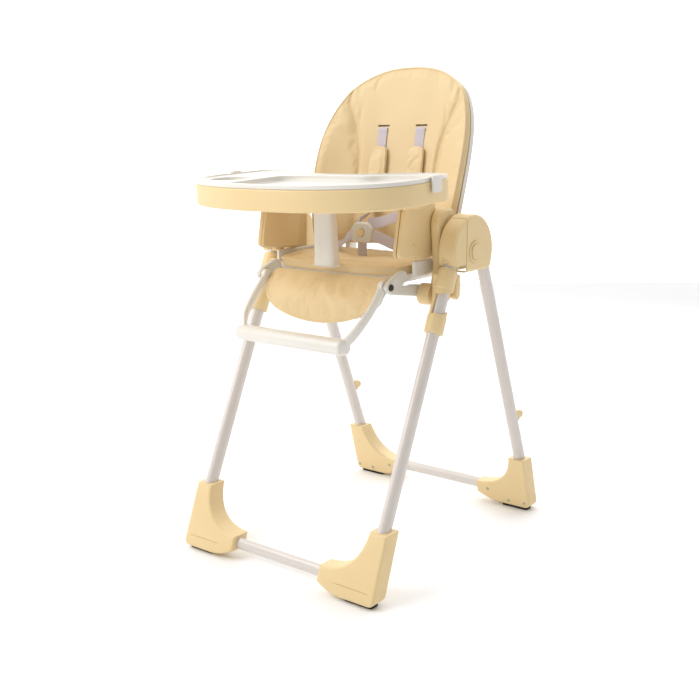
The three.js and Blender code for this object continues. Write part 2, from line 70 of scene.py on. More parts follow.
floor_mesh = bmesh.new()
bmesh.ops.create_grid(floor_mesh, x_segments=2, y_segments=2, size=FLOOR_HALF)
floor_data = bpy.data.meshes.new("floor")
floor_mesh.to_mesh(floor_data)
floor = bpy.data.objects.new("floor", floor_data)
scene.collection.objects.link(floor)
floor_paint = bpy.data.materials.new("floor_paint")
floor_paint.use_nodes = True
floor_shader = floor_paint.node_tree.nodes["Principled BSDF"]
floor_shader.inputs["Base Color"].default_value = (0.95, 0.95, 0.95, 1)
floor_shader.inputs["Roughness"].default_value = 0.9
floor_data.materials.append(floor_paint)

SCREEN_AWAY, SCREEN_HALF = 4.2, 30.0
SCREEN_TURN = math.radians(37.5)
screen_mesh = bmesh.new()
bmesh.ops.create_grid(screen_mesh, x_segments=2, y_segments=2, size=SCREEN_HALF)
screen_x, screen_y = -math.sin(SCREEN_TURN) * SCREEN_AWAY, math.cos(SCREEN_TURN) * SCREEN_AWAY
upright = Matrix.Rotation(SCREEN_TURN, 4, "Z") @ Matrix.Rotation(math.pi / 2, 4, "X")
bmesh.ops.transform(screen_mesh, matrix=Matrix.Translation((screen_x, screen_y, SCREEN_HALF)) @ upright,
                    verts=screen_mesh.verts)
screen_data = bpy.data.meshes.new("screen")
screen_mesh.to_mesh(screen_data)
screen = bpy.data.objects.new("screen", screen_data)
scene.collection.objects.link(screen)
screen_paint = bpy.data.materials.new("screen_paint")
screen_paint.use_nodes = True
screen_shader = screen_paint.node_tree.nodes["Principled BSDF"]
screen_shader.inputs["Emission Color"].default_value = (1, 1, 1, 1)
screen_shader.inputs["Emission Strength"].default_value = 0.8
screen_data.materials.append(screen_paint)

for name, place, size, watts in LIGHTS:
    data = bpy.data.lights.new(name, "AREA")
    data.shape = "DISK"
    data.size = size
    data.energy = watts
    lamp = bpy.data.objects.new(name, data)
    lamp.location = place
    lamp.rotation_euler = (AIM - Vector(place)).to_track_quat("-Z", "Y").to_euler()
    scene.collection.objects.link(lamp)

world = bpy.data.worlds.new("studio")
scene.world = world
world.use_nodes = True
world.node_tree.nodes["Background"].inputs["Color"].default_value = (1, 1, 1, 1)
world.node_tree.nodes["Background"].inputs["Strength"].default_value = 0.45

# The camera stands at the front left of the chair, a little below the top of the backrest.
CAMERA_PLACE = (1.367, -1.844, 0.958)
CAMERA_YAW, CAMERA_DOWN, CAMERA_ROLL = (math.radians(a) for a in (37.51, 12.3, -0.25))
camera_data = bpy.data.cameras.new("camera")
camera_data.lens = 50.0
camera_data.sensor_width = 36.0
camera = bpy.data.objects.new("camera", camera_data)
camera.matrix_world = (
    Matrix.Translation(CAMERA_PLACE)
    @ Matrix.Rotation(CAMERA_YAW, 4, "Z")
    @ Matrix.Rotation(math.pi / 2 - CAMERA_DOWN, 4, "X")
    @ Matrix.Rotation(CAMERA_ROLL, 4, "Z")
)
scene.collection.objects.link(camera)
scene.camera = camera


# ---------- steel tube frame ----------
# Oval steel tube, 34 by 26 mm, powder coated in a satin silver: two pairs of legs and the two
# crossbars that hold each pair apart.
class Wire:
    """A shader socket that adds and multiplies like a number, one Math node to each sign."""

    def __init__(self, finish, socket):
        self.finish, self.socket = finish, socket

    def sign(self, operation, *values):
        return self.finish.node("ShaderNodeMath", {"operation": operation}, dict(enumerate(values)))

    def __add__(self, other):
        return self.sign("ADD", self, other)

    def __mul__(self, other):
        return self.sign("MULTIPLY", self, other)

    __radd__, __rmul__ = __add__, __mul__


class Finish:
    """A material under construction. node() lays any node and hands back one of its outputs."""

    def __init__(self, name, **fixed):
        self.material = bpy.data.materials.new(name)
        self.material.use_nodes = True
        self.tree = self.material.node_tree
        self.shader = self.tree.nodes["Principled BSDF"]
        for socket, value in fixed.items():
            self.shader.inputs[socket.replace("_", " ")].default_value = value

    def node(self, kind, settings=None, sockets=None, output=0):
        made = self.tree.nodes.new(kind)
        for setting, value in (settings or {}).items():
            setattr(made, setting, value)
        for socket, value in (sockets or {}).items():
            if isinstance(value, Wire):
                self.tree.links.new(value.socket, made.inputs[socket])
            else:
                made.inputs[socket].default_value = value
        return Wire(self, made.outputs[output])

    def place(self):
        return self.node("ShaderNodeTexCoord", output="Object")

    def speckle(self, per_metre, detail=2.0):
        """Soft noise from 0 to 1 at a pitch given in cells to the metre."""
        sockets = {"Vector": self.place(), "Scale": per_metre, "Detail": detail}
        return self.node("ShaderNodeTexNoise", {}, sockets)

    def cells(self, per_metre):
        """Distance into small rounded cells, as in leather grain and etched plastic."""
        sockets = {"Vector": self.place(), "Scale": per_metre}
        return self.node("ShaderNodeTexVoronoi", {"feature": "F1"}, sockets)

    def between(self, share, first, second):
        """A colour between two, by a share from 0 to 1."""
        settings = {"data_type": "RGBA"}
        sockets = {0: share, 6: (*first, 1), 7: (*second, 1)}
        return self.node("ShaderNodeMix", settings, sockets, output=2)

    def relief(self, height, millimetres, strength=1.0):
        sockets = {"Height": height, "Distance": millimetres / 1000, "Strength": strength}
        self.drive("Normal", self.node("ShaderNodeBump", {}, sockets))

    def drive(self, socket, wire):
        self.tree.links.new(wire.socket, self.shader.inputs[socket])


def shade(red, green, blue):
    """A display colour from 0 to 255 as the linear colour that a shader takes."""
    shares = (red / 255, green / 255, blue / 255)
    return tuple(c / 12.92 if c <= 0.04 else ((c + 0.055) / 1.055) ** 2.4 for c in shares)


def powder_coat():
    finish = Finish("satin_silver_powder_coat", Metallic=0.12, IOR=1.5)
    cloud = finish.speckle(9)
    orange_peel = finish.speckle(1400, 1.0)
    finish.drive("Base Color", finish.between(cloud, shade(208, 201, 194), shade(222, 214, 207)))
    finish.drive("Roughness", 0.34 + 0.1 * orange_peel)
    finish.relief(orange_peel, 0.05, 0.5)
    return finish.material


silver_tube = powder_coat()
SIDES = {"left": 1, "right": -1}
OVAL_SIDES = 48
TUBE_WIDE, TUBE_DEEP = 0.026, 0.034
FRONT_LEAN, REAR_LEAN = math.radians(24.3), math.radians(-22.4)


def finished(name, mesh, material, body, nodes=(), sharp=35):
    """Turns a bmesh into a piece that rides on a body, if one is named, and stands for the CAD nodes."""
    bmesh.ops.recalc_face_normals(mesh, faces=mesh.faces)
    data = bpy.data.meshes.new(name)
    mesh.to_mesh(data)
    mesh.free()
    data.materials.append(material)
    data.shade_smooth()
    data.set_sharp_from_angle(angle=math.radians(sharp))
    piece = bpy.data.objects.new(name, data)
    scene.collection.objects.link(piece)
    if body:
        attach(piece, body)
    if nodes:
        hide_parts(*nodes)
    return piece


def leg_axis(node, lean):
    """The middle line of a leaning leg, from the CAD leg's box: at(z) is the point at that height."""
    low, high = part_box(node)
    middle = (low + high) / 2
    return lambda z: Vector((middle.x, middle.y + math.tan(lean) * (z - middle.z), z))


def tube(mesh, start, end, wide, deep, turn):
    """A capped straight tube of oval section from start to end. turn sets its long axis upright."""
    ring = bmesh.ops.create_circle(mesh, cap_ends=True, segments=OVAL_SIDES, radius=0.5)["verts"]
    bmesh.ops.scale(mesh, verts=ring, vec=(wide, deep, 1))
    bmesh.ops.transform(mesh, matrix=Matrix.Translation(start) @ turn, verts=ring)
    cap = next(f for f in mesh.faces if set(f.verts) == set(ring))
    grown = bmesh.ops.extrude_face_region(mesh, geom=[cap], use_keep_orig=True)
    far = [g for g in grown["geom"] if isinstance(g, bmesh.types.BMVert)]
    bmesh.ops.translate(mesh, verts=far, vec=Vector(end) - Vector(start))


LEG_TURN = {"front": Matrix.Rotation(-FRONT_LEAN, 4, "X"), "rear": Matrix.Rotation(-REAR_LEAN, 4, "X")}
axes = {}
for end, lean in (("front", FRONT_LEAN), ("rear", REAR_LEAN)):
    for side in SIDES:
        node = f"{end}_leg_{side}"
        axes[end, side] = leg_axis(node, lean)
        low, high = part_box(node)
        tip = TUBE_DEEP / 2 * math.sin(abs(lean))
        mesh = bmesh.new()
        at = axes[end, side]
        tube(mesh, at(low.z + tip), at(high.z - tip), TUBE_WIDE, TUBE_DEEP, LEG_TURN[end])
        finished(f"{node}_tube", mesh, silver_tube, f"{end}_frame", [node])
    low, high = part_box(f"{end}_crossbar")
    mesh = bmesh.new()
    middle = (low + high) / 2
    tube(mesh, (low.x, middle.y, middle.z), (high.x, middle.y, middle.z),
         high.z - low.z, high.y - low.y, Matrix.Rotation(math.pi / 2, 4, "Y"))
    finished(f"{end}_crossbar_tube", mesh, silver_tube, f"{end}_frame", [f"{end}_crossbar"])


# ---------- moulded feet ----------
# Cream polypropylene boots, one on each leg: a sleeve up the tube, an arm along the crossbar, a
# parting groove near the sole, four screws from the inner side and a rubber pad underneath.
def moulding(name, light, dark, gloss=0.4, skin=0.05, coat=0.0):
    """Moulded plastic: faint flow clouds in the colour, an etched skin and a soft shine."""
    finish = Finish(name, IOR=1.46)
    finish.shader.inputs["Coat Weight"].default_value = coat
    finish.shader.inputs["Coat Roughness"].default_value = 0.25
    cloud = finish.speckle(8, 3.0)
    etched = finish.speckle(2400, 1.0)
    finish.drive("Base Color", finish.between(cloud, shade(*dark), shade(*light)))
    finish.drive("Roughness", gloss + 0.12 * etched)
    finish.relief(etched, skin, 0.5)
    return finish.material


def rubbery():
    finish = Finish("black_rubber", IOR=1.5)
    grit = finish.speckle(900, 2.0)
    finish.drive("Base Color", finish.between(grit, shade(34, 32, 30), shade(58, 55, 52)))
    finish.drive("Roughness", 0.75 + 0.2 * grit)
    finish.relief(grit, 0.25, 0.8)
    return finish.material


def zinc():
    finish = Finish("zinc_plated_steel", Metallic=1.0)
    brushed = finish.speckle(500, 3.0)
    finish.drive("Base Color", finish.between(brushed, shade(150, 148, 144), shade(198, 196, 190)))
    finish.drive("Roughness", 0.28 + 0.2 * brushed)
    finish.relief(brushed, 0.03, 0.6)
    return finish.material


cream = moulding("cream_polypropylene", (233, 208, 158), (225, 197, 146))
rubber = rubbery()
steel = zinc()

FACING = Matrix(((1, 0, 0, 0), (0, 0, 1, 0), (0, 1, 0, 0), (0, 0, 0, 1)))
SIDE_ON = Matrix(((0, 0, 1, 0), (1, 0, 0, 0), (0, 1, 0, 0), (0, 0, 0, 1)))


def bend(start, pull, end, steps=8):
    """Points along a curve from start to end, drawn towards pull."""
    share = [k / steps for k in range(steps + 1)]
    start, pull, end = Vector(start), Vector(pull), Vector(end)
    return [start * (1 - t) ** 2 + pull * 2 * t * (1 - t) + end * t * t for t in share]


def softened(corners, radius, steps=7):
    """A closed outline through the corners, each rounded off from `radius` before to after it."""
    outline = []
    for i, corner in enumerate(corners):
        corner = Vector(corner)
        sides = [Vector(corners[i - 1]) - corner, Vector(corners[(i + 1) % len(corners)]) - corner]
        ends = [corner + side.normalized() * min(radius, side.length * 0.45) for side in sides]
        outline += bend(ends[0], corner, ends[1], steps)
    return outline


def rounded_edges(mesh, edges, radius, segments):
    bmesh.ops.bevel(mesh, geom=edges, offset=radius, offset_type="OFFSET", segments=segments,
                    profile=0.5, affect="EDGES", material=-1, clamp_overlap=True)


def rims_rounded(mesh, radius, segments):
    """Rounds every edge between faces that meet at nearly a right angle."""
    rounded_edges(mesh, [e for e in mesh.edges if e.calc_face_angle(0) > 1], radius, segments)


def plate(outline, turn, near, far, radius=0.0, segments=5, both=True):
    """A slab of an outline, from near to far across it, with its rims rounded over."""
    mesh = bmesh.new()
    verts = [mesh.verts.new(turn @ Vector((a, b, near))) for a, b in outline]
    cap = mesh.faces.new(verts)
    grown = bmesh.ops.extrude_face_region(mesh, geom=[cap], use_keep_orig=True)["geom"]
    lid = next(g for g in grown if isinstance(g, bmesh.types.BMFace))
    bmesh.ops.translate(mesh, verts=lid.verts, vec=turn.to_3x3() @ Vector((0, 0, far - near)))
    if radius:
        rims = list(lid.edges) + (list(cap.edges) if both else [])
        rounded_edges(mesh, rims, radius, segments)
    bmesh.ops.recalc_face_normals(mesh, faces=mesh.faces)
    return mesh


def brick(low, high, radius=0.0, segments=3):
    """A block from its lowest to its highest corner, all its edges rounded."""
    mesh = bmesh.new()
    bmesh.ops.create_cube(mesh, size=1)
    low, high = Vector(low), Vector(high)
    bmesh.ops.scale(mesh, verts=mesh.verts, vec=high - low)
    bmesh.ops.translate(mesh, verts=mesh.verts, vec=(low + high) / 2)
    if radius:
        rounded_edges(mesh, list(mesh.edges), radius, segments)
    return mesh


def shadow_object(mesh):
    data = bpy.data.meshes.new("tool")
    mesh.to_mesh(data)
    mesh.free()
    tool = bpy.data.objects.new("tool", data)
    scene.collection.objects.link(tool)
    return tool


def combined(mesh, tools, operation):
    """The solid after an exact boolean step with each of the tools in turn."""
    body = shadow_object(mesh)
    others = [shadow_object(tool) for tool in tools]
    for other in others:
        step = body.modifiers.new("step", "BOOLEAN")
        step.operation, step.object, step.solver = operation, other, "EXACT"
    data = bpy.data.meshes.new_from_object(body.evaluated_get(bpy.context.evaluated_depsgraph_get()))
    for spent in (body, *others):
        bpy.data.objects.remove(spent)
    result = bmesh.new()
    result.from_mesh(data)
    return result


def cut(mesh, *tools):
    """The solid with each tool's solid cut out of it."""
    return combined(mesh, tools, "DIFFERENCE")


def joined(mesh, *parts):
    """The solid with each part's solid joined to it."""
    return combined(mesh, parts, "UNION")


def screw(mesh, place, out, radius=0.0045):
    """A pan-head screw standing off a face, with a cross recess pressed into it."""
    turn = Matrix.Translation(place) @ Vector(out).to_track_quat("Z", "Y").to_matrix().to_4x4()
    new = bmesh.ops.create_cone(mesh, cap_ends=True, segments=28, radius1=radius, radius2=radius * 0.72,
                                depth=radius * 0.5)["verts"]
    bmesh.ops.transform(mesh, matrix=turn, verts=new)
    for angle in (0, math.pi / 2):
        bar = bmesh.ops.create_cube(mesh, size=1)["verts"]
        flat = Matrix.Diagonal((radius * 1.0, radius * 0.18, radius * 0.1, 1))
        lift = Matrix.Translation((0, 0, radius * 0.27))
        bmesh.ops.transform(mesh, matrix=turn @ Matrix.Rotation(angle, 4, "Z") @ lift @ flat, verts=bar)


BOOT = {"outer": 0.280, "inner": 0.126, "top": 0.150, "deep": 0.050, "sole": 0.008, "arm": 0.058}
SOLE_SHIFT = {"front": 0.012, "rear": -0.020}  # the sole stands this far off the leg's line
GROOVE_X, GROOVE_Z, GROOVE_TALL, GROOVE_DEEP = (0.172, 0.262), 0.034, 0.0012, 0.0014
SCREWS = ((0.268, 0.024), (0.222, 0.022), (0.255, 0.105), (0.160, 0.042))


def boot_outline():
    outer, inner, top, sole, arm = (BOOT[k] for k in ("outer", "inner", "top", "sole", "arm"))
    corner = bend((outer, sole + 0.016), (outer, sole), (outer - 0.016, sole))
    foot = bend((0.190, sole), (inner + 0.030, sole + 0.002), (inner, sole + 0.018), 10)
    fillet = bend((inner, arm), (0.224, arm + 0.004), (0.234, top), 22)
    return [*corner, *foot, *fillet, Vector((outer - 0.001, top))]


def lean_with_leg(mesh, end, side, shift):
    """Slides every point along y, so that the boot follows the leg's line and steps in at the sole."""
    at = axes[end, side]
    for vert in mesh.verts:
        vert.co.y += at(vert.co.z).y + shift * (1 - vert.co.z / BOOT["top"]) ** 2


for end in ("front", "rear"):
    for side, sign in SIDES.items():
        half = BOOT["deep"] / 2
        mesh = plate(boot_outline(), FACING, -half, half, 0.0065, 6)
        face = -half if end == "front" else half
        groove = brick((GROOVE_X[0], face - GROOVE_DEEP, GROOVE_Z),
                       (GROOVE_X[1], face + GROOVE_DEEP, GROOVE_Z + GROOVE_TALL))
        mesh = cut(mesh, groove)
        lean_with_leg(mesh, end, side, SOLE_SHIFT[end])
        bmesh.ops.scale(mesh, verts=mesh.verts, vec=(sign, 1, 1))
        node = f"{end}_boot_{side}"
        finished(f"{node}_moulding", mesh, cream, f"{end}_frame", [node], 40)
        screws = bmesh.new()
        inward = 1 if end == "front" else -1
        for x, z in SCREWS:
            place = axes[end, side](z)
            y = place.y + SOLE_SHIFT[end] * (1 - z / BOOT["top"]) ** 2 + inward * (half + 0.0008)
            screw(screws, (sign * x, y, z), (0, inward, 0))
        finished(f"{end}_boot_screws_{side}", screws, steel, f"{end}_frame")


def eased(node, name, material, body, radius=0.001, segments=3, hard=32, sharp=50):
    """A piece made from a CAD node: facets merged into whole faces and every hard edge rounded."""
    mesh = bmesh.new()
    mesh.from_mesh(frame["nodes"][node].data)
    bmesh.ops.remove_doubles(mesh, verts=mesh.verts, dist=2e-5)
    bmesh.ops.dissolve_limit(mesh, angle_limit=math.radians(1.5), verts=mesh.verts, edges=mesh.edges)
    corners = [e for e in mesh.edges if len(e.link_faces) == 2 and e.calc_face_angle() > math.radians(hard)]
    rounded_edges(mesh, corners, radius, segments)
    return finished(name, mesh, material, body, [node], sharp)


for end in ("front", "rear"):
    for side in SIDES:
        node = f"{end}_foot_pad_{side}"
        eased(node, f"{end}_sole_{side}", rubber, f"{end}_frame", 0.0012)
for side in SIDES:
    eased(f"tray_hook_{side}", f"tray_peg_{side}", cream, "rear_frame", 0.0015)


# ---------- folding hubs ----------
# A domed housing on top of each front leg hides the rear leg's steel hinge: an inner wall with the
# front leg's socket in one moulding, a dished outer cover, and a round button that frees the fold.
def joint(name):
    return next(j for j in frame["joints"] if j["name"] == name)


HUB = Vector(joint("frame_fold")["pos_m"])
HUB_RADIUS, HUB_WALL, HUB_INNER, HUB_OUTER = 0.082, 0.003, 0.236, 0.282
HUB_DROP = 0.044  # from the pivot to the housing's flat bottom
SEAM_Y = HUB.y - 0.033
HINGE_GAP = 0.0003
BUTTON_RADIUS = 0.024
BUTTON_RING = (0.0180, 0.0195)
SLEEVE_Z = (0.684, 0.764)
SLEEVE_CAP_Z = 0.7475  # a groove marks the cap on the sleeve here


def hub_outline(inset):
    radius = HUB_RADIUS - inset
    bottom = HUB.z - HUB_DROP + inset
    start = math.asin((bottom + 0.016 - HUB.z) / radius)
    steps = 64
    sweep = [start + (math.pi - 2 * start) * k / steps for k in range(steps + 1)]
    dome = [Vector((HUB.y + radius * math.cos(a), HUB.z + radius * math.sin(a))) for a in sweep]
    toe = Vector((HUB.y - radius + 0.024, bottom))
    heel = Vector((HUB.y + radius - 0.024, bottom))
    front = bend(dome[-1], (HUB.y - radius + 0.006, bottom), toe, 6)[1:]
    back = bend(heel, (HUB.y + radius - 0.006, bottom), dome[0], 6)[:-1]
    return dome + front + back


def disc(radius, near, far, y, z, segments=64):
    """A round bar along x."""
    mesh = bmesh.new()
    turn = Matrix.Translation(((near + far) / 2, y, z)) @ Matrix.Rotation(math.pi / 2, 4, "Y")
    bmesh.ops.create_cone(mesh, cap_ends=True, segments=segments, radius1=radius, radius2=radius,
                          depth=far - near, matrix=turn)
    return mesh


def leg_sleeve(low, high, grow):
    """An oval solid along the left front leg, between two heights, `grow` bigger than the tube."""
    mesh = bmesh.new()
    at = axes["front", "left"]
    tube(mesh, at(low), at(high), TUBE_WIDE + 2 * grow, TUBE_DEEP + 2 * grow, LEG_TURN["front"])
    return mesh


def to_side(mesh, sign):
    bmesh.ops.scale(mesh, verts=mesh.verts, vec=(sign, 1, 1))
    bmesh.ops.recalc_face_normals(mesh, faces=mesh.faces)
    return mesh


LEG_X = axes["front", "left"](0).x
for side, sign in SIDES.items():
    cover = plate(hub_outline(0), SIDE_ON, HUB_INNER + HUB_WALL + HINGE_GAP, HUB_OUTER,
                  0.007, 6, both=False)
    cavity = plate(hub_outline(HUB_WALL), SIDE_ON, HUB_INNER - 0.01, HUB_OUTER - HUB_WALL)
    front_part = brick((0.1, -1, 0.4), (0.4, SEAM_Y + HINGE_GAP, 1))
    leg_way = brick((LEG_X - 0.016, SEAM_Y + 0.008, 0.6), (LEG_X + 0.0218, 0.2, HUB.z + 0.025))
    button_well = disc(BUTTON_RADIUS + HINGE_GAP, HUB_OUTER - 0.012, HUB_OUTER + 0.01, HUB.y, HUB.z)
    cover = cut(cover, cavity, front_part, leg_way, button_well)
    finished(f"hub_dome_{side}", to_side(cover, sign), cream, "front_frame",
             [f"hub_cover_{side}"], 40)

    nose = plate(hub_outline(0.0012), SIDE_ON, HUB_INNER, HUB_OUTER - 0.0012, 0.006, 6)
    behind_seam = brick((HUB_INNER + HUB_WALL, SEAM_Y, 0.4), (0.4, 1, 1))
    slider_room = brick((0.1, -1, 0.4), (HUB_INNER + 0.2, SEAM_Y, 0.686))
    sleeve = leg_sleeve(*SLEEVE_Z, 0.0062)
    rims_rounded(sleeve, 0.003, 4)
    groove = cut(leg_sleeve(SLEEVE_CAP_Z, SLEEVE_CAP_Z + 0.0015, 0.012), leg_sleeve(0.73, 0.77, 0.0052))
    nose = joined(cut(nose, behind_seam, slider_room), sleeve)
    bore = leg_sleeve(0.64, SLEEVE_CAP_Z, 0.0004)
    hinge_room = brick((HUB_INNER + HUB_WALL, SEAM_Y + 0.012, 0.4), (HUB_OUTER + 0.02, 1, 1))
    nose = cut(nose, groove, bore, hinge_room)
    finished(f"hub_shoulder_{side}", to_side(nose, sign), cream, "front_frame",
             [f"hub_socket_{side}"], 40)

    button = disc(BUTTON_RADIUS, HUB_OUTER - 0.006, HUB_OUTER + 0.003, HUB.y, HUB.z)
    rims_rounded(button, 0.0015, 4)
    button = cut(button, cut(disc(BUTTON_RING[1], HUB_OUTER + 0.0018, HUB_OUTER + 0.01, HUB.y, HUB.z),
                             disc(BUTTON_RING[0], HUB_OUTER, HUB_OUTER + 0.02, HUB.y, HUB.z)))
    crown = disc(0.0178, HUB_OUTER + 0.0028, HUB_OUTER + 0.005, HUB.y, HUB.z)
    rims_rounded(crown, 0.0014, 4)
    button = joined(button, crown)
    finished(f"fold_button_cap_{side}", to_side(button, sign), cream, f"fold_button_{side}",
             [f"fold_button_{side}"], 40)
    eased(f"hub_pin_{side}", f"hub_rivet_{side}", steel, "front_frame", 0.0008)
    eased(f"rear_hinge_plate_{side}", f"hinge_arm_{side}", steel, "rear_frame", 0.0005)


# ---------- seat slider ----------
# Each side of the seat hangs on a slider of two rings around the front leg, with a squeeze lever
# behind it, and a deep side bracket with a round boss where the seat's cross shaft ends.
RING_GROW = 0.007
RINGS_Z = ((0.634, 0.673), (0.544, 0.582))
WINDOW_Z = (0.586, 0.630)
LUG_X, LUG_Y, LUG_Z = (0.2295, 0.250), (-0.009, 0.023), (0.610, 0.670)  # y is off the leg's line
for side, sign in SIDES.items():
    slider = leg_sleeve(0.544, 0.676, 0.0055)
    window = brick((LEG_X - 0.004, -1, WINDOW_Z[0]), (LEG_X + 0.06, 1, WINDOW_Z[1]))
    slider = cut(slider, window)
    for low, high in RINGS_Z:
        ring = leg_sleeve(low, high, RING_GROW)
        rims_rounded(ring, 0.003, 4)
        slider = joined(slider, ring)
    lug_y = axes["front", "left"](0.640).y
    lug = brick(*((LUG_X[k], lug_y + LUG_Y[k], LUG_Z[k]) for k in (0, 1)), 0.003)
    slider = joined(slider, lug)
    slider = cut(slider, leg_sleeve(0.50, 0.72, 0.0004))
    finished(f"slider_{side}", to_side(slider, sign), cream, "seat",
             [f"height_carriage_{side}"], 40)
    eased(f"height_lever_{side}", f"squeeze_lever_{side}", cream, f"height_lever_{side}",
          0.003, 4)
    eased(f"seat_bracket_{side}", f"side_bracket_{side}", cream, "seat", 0.003, 4, 40)


# ---------- seat shell, brackets and footrest ----------
# A white polypropylene pan carries the seat. Two light brackets run forward from it to the pivots
# of the legrest and of the U-shaped footrest, each with a dark push button on its pivot.
white = moulding("warm_white_polypropylene", (231, 227, 219), (223, 218, 209), 0.32, 0.02, 0.15)
pale_grey = moulding("pale_grey_polypropylene", (222, 219, 210), (212, 208, 198), 0.42)
dark = moulding("black_acetal", (46, 46, 47), (32, 32, 33), 0.38)

eased("seat_shell", "seat_pan", white, "seat", 0.002, 3)
for side, sign in SIDES.items():
    eased(f"legrest_bracket_{side}", f"legrest_arm_{side}", pale_grey, "seat", 0.003, 4)
    eased(f"legrest_button_{side}", f"legrest_lock_{side}", dark, f"legrest_button_{side}",
          0.0012)

PIVOT = Vector(joint("footrest_tilt")["pos_m"])
BAR = Vector((0.149, PIVOT.y - 0.108, PIVOT.z - 0.117))  # half length, middle of the foot bar
ARM_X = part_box("footrest")[1].x - 0.0065
ARM_WIDE, ARM_DEEP = 0.0215, 0.0128
EYE_RADIUS, EYE_HALF = 0.013, 0.0062


def swept(points, wide, deep, sides=28):
    """A bar of oval section along a smooth line of points, capped at both ends."""
    mesh = bmesh.new()
    previous = None
    for i, point in enumerate(points):
        ahead = points[min(i + 1, len(points) - 1)] - points[max(i - 1, 0)]
        turn = ahead.to_track_quat("Z", "X").to_matrix().to_4x4()
        ring = bmesh.ops.create_circle(mesh, segments=sides, radius=0.5)["verts"]
        shape = Matrix.Diagonal((wide, deep, 1, 1))
        bmesh.ops.transform(mesh, matrix=Matrix.Translation(point) @ turn @ shape, verts=ring)
        edges = list({e for v in ring for e in v.link_edges})
        if previous:
            bmesh.ops.bridge_loops(mesh, edges=previous + edges)
        else:
            bmesh.ops.holes_fill(mesh, edges=edges, sides=0)
        previous = edges
    bmesh.ops.holes_fill(mesh, edges=previous, sides=0)
    return mesh


def smooth_line(knots, per_span=8):
    """Evenly drawn points on a Catmull-Rom line through the knots."""
    ends = [knots[0] * 2 - knots[1], *knots, knots[-1] * 2 - knots[-2]]
    line = []
    for before, start, end, after in zip(ends, ends[1:], ends[2:], ends[3:]):
        for k in range(per_span):
            t = k / per_span
            line.append(0.5 * ((2 * start) + (end - before) * t
                               + (2 * before - 5 * start + 4 * end - after) * t * t
                               + (3 * start - before - 3 * end + after) * t ** 3))
    return [*line, knots[-1]]


bar_section = softened([(-0.020, -0.014), (0.012, -0.019), (0.023, -0.006), (0.018, 0.015),
                        (-0.014, 0.018), (-0.024, 0.004)], 0.010, 6)
shifted = [(a + BAR.y, b + BAR.z) for a, b in bar_section]
footrest = plate(shifted, SIDE_ON, -BAR.x, BAR.x, 0.006, 5)
footrest_parts = []
for sign in SIDES.values():
    knots = [Vector((sign * ARM_X, PIVOT.y - 0.004, PIVOT.z - 0.005)),
             Vector((sign * ARM_X, PIVOT.y - 0.045, PIVOT.z - 0.048)),
             Vector((sign * (ARM_X - 0.008), PIVOT.y - 0.082, PIVOT.z - 0.084)),
             Vector((sign * (BAR.x - 0.008), BAR.y + 0.002, BAR.z + 0.002))]
    footrest_parts.append(swept(smooth_line(knots), ARM_WIDE, ARM_DEEP))
    eye = disc(EYE_RADIUS, ARM_X - EYE_HALF, ARM_X + EYE_HALF, PIVOT.y, PIVOT.z, 48)
    rims_rounded(eye, 0.002, 3)
    footrest_parts.append(to_side(eye, sign))
footrest = joined(footrest, *footrest_parts)
finished("footrest_frame", footrest, white, "footrest", ["footrest"], 40)


# ---------- backrest ----------
# A white shell with two ears on the recline pivots, and over it a padded liner of synthetic
# leather: sewn along two seams between the middle and the wings, piped all round, with a pair of
# slots for the shoulder straps.
def leatherette():
    """Soft coated fabric: pebble grain of two sizes, a slight mottle and a silky shine."""
    finish = Finish("cream_leatherette", IOR=1.45, Sheen_Weight=0.12, Sheen_Roughness=0.4)
    cloud = finish.speckle(5, 4.0)
    pebble = finish.cells(620)
    pores = finish.cells(1500)
    mottle = 0.75 * cloud + 0.25 * pebble
    finish.drive("Base Color", finish.between(mottle, shade(233, 209, 164), shade(220, 193, 145)))
    finish.drive("Roughness", 0.46 + 0.16 * pebble)
    finish.relief(pebble + 0.4 * pores, -0.18, 0.55)
    return finish.material


def thread():
    finish = Finish("stitching_thread", IOR=1.45)
    twist = finish.speckle(3000, 1.0)
    finish.drive("Base Color", finish.between(twist, shade(214, 186, 138), shade(240, 222, 186)))
    finish.drive("Roughness", 0.6 + 0.2 * twist)
    return finish.material


leather = leatherette()
stitching = thread()
BACK_PIVOT = Vector(joint("backrest_recline")["pos_m"])
BACK_BOTTOM, BACK_WIDEST, BACK_TOP = (BACK_PIVOT.z + h for h in (0.014, 0.210, 0.434))
BACK_HALF, BACK_TAPER = 0.204, 0.023
BACK_PAD = 0.022
ROUND_OFF = 0.46
FULLNESS = 2.3
SLOT = {"x": 0.055, "z": BACK_PIVOT.z + 0.297, "wide": 0.034, "tall": 0.0045}


def back_depth(x, z):
    rise = (z - BACK_BOTTOM) / (BACK_TOP - BACK_BOTTOM)
    wing = (0.092 - 0.058 * rise) * abs(x / BACK_HALF) ** 2.6
    return BACK_PIVOT.y - 0.018 + 0.054 * rise + 0.022 * rise * rise - wing


def back_surface(u, v):
    """A place on the pad's front: u from -1 to 1 across, v from 0 at the bottom to 1."""
    split = 0.45
    if v < split:
        t = v / split
        x = u * (BACK_HALF - BACK_TAPER * (1 - t) ** 2)
        z = BACK_BOTTOM + (BACK_WIDEST - BACK_BOTTOM) * t
    else:
        t = (v - split) / (1 - split)
        across = u * math.sqrt(1 - ROUND_OFF * t * t)
        up = t * math.sqrt(1 - ROUND_OFF * u * u)
        radius = math.hypot(across, up) or 1
        full = 1 / ((abs(across) / radius) ** FULLNESS + (up / radius) ** FULLNESS) ** (1 / FULLNESS)
        x = BACK_HALF * across * full
        z = BACK_WIDEST + (BACK_TOP - BACK_WIDEST) * up * full
    return Vector((x, back_depth(x, z), z))


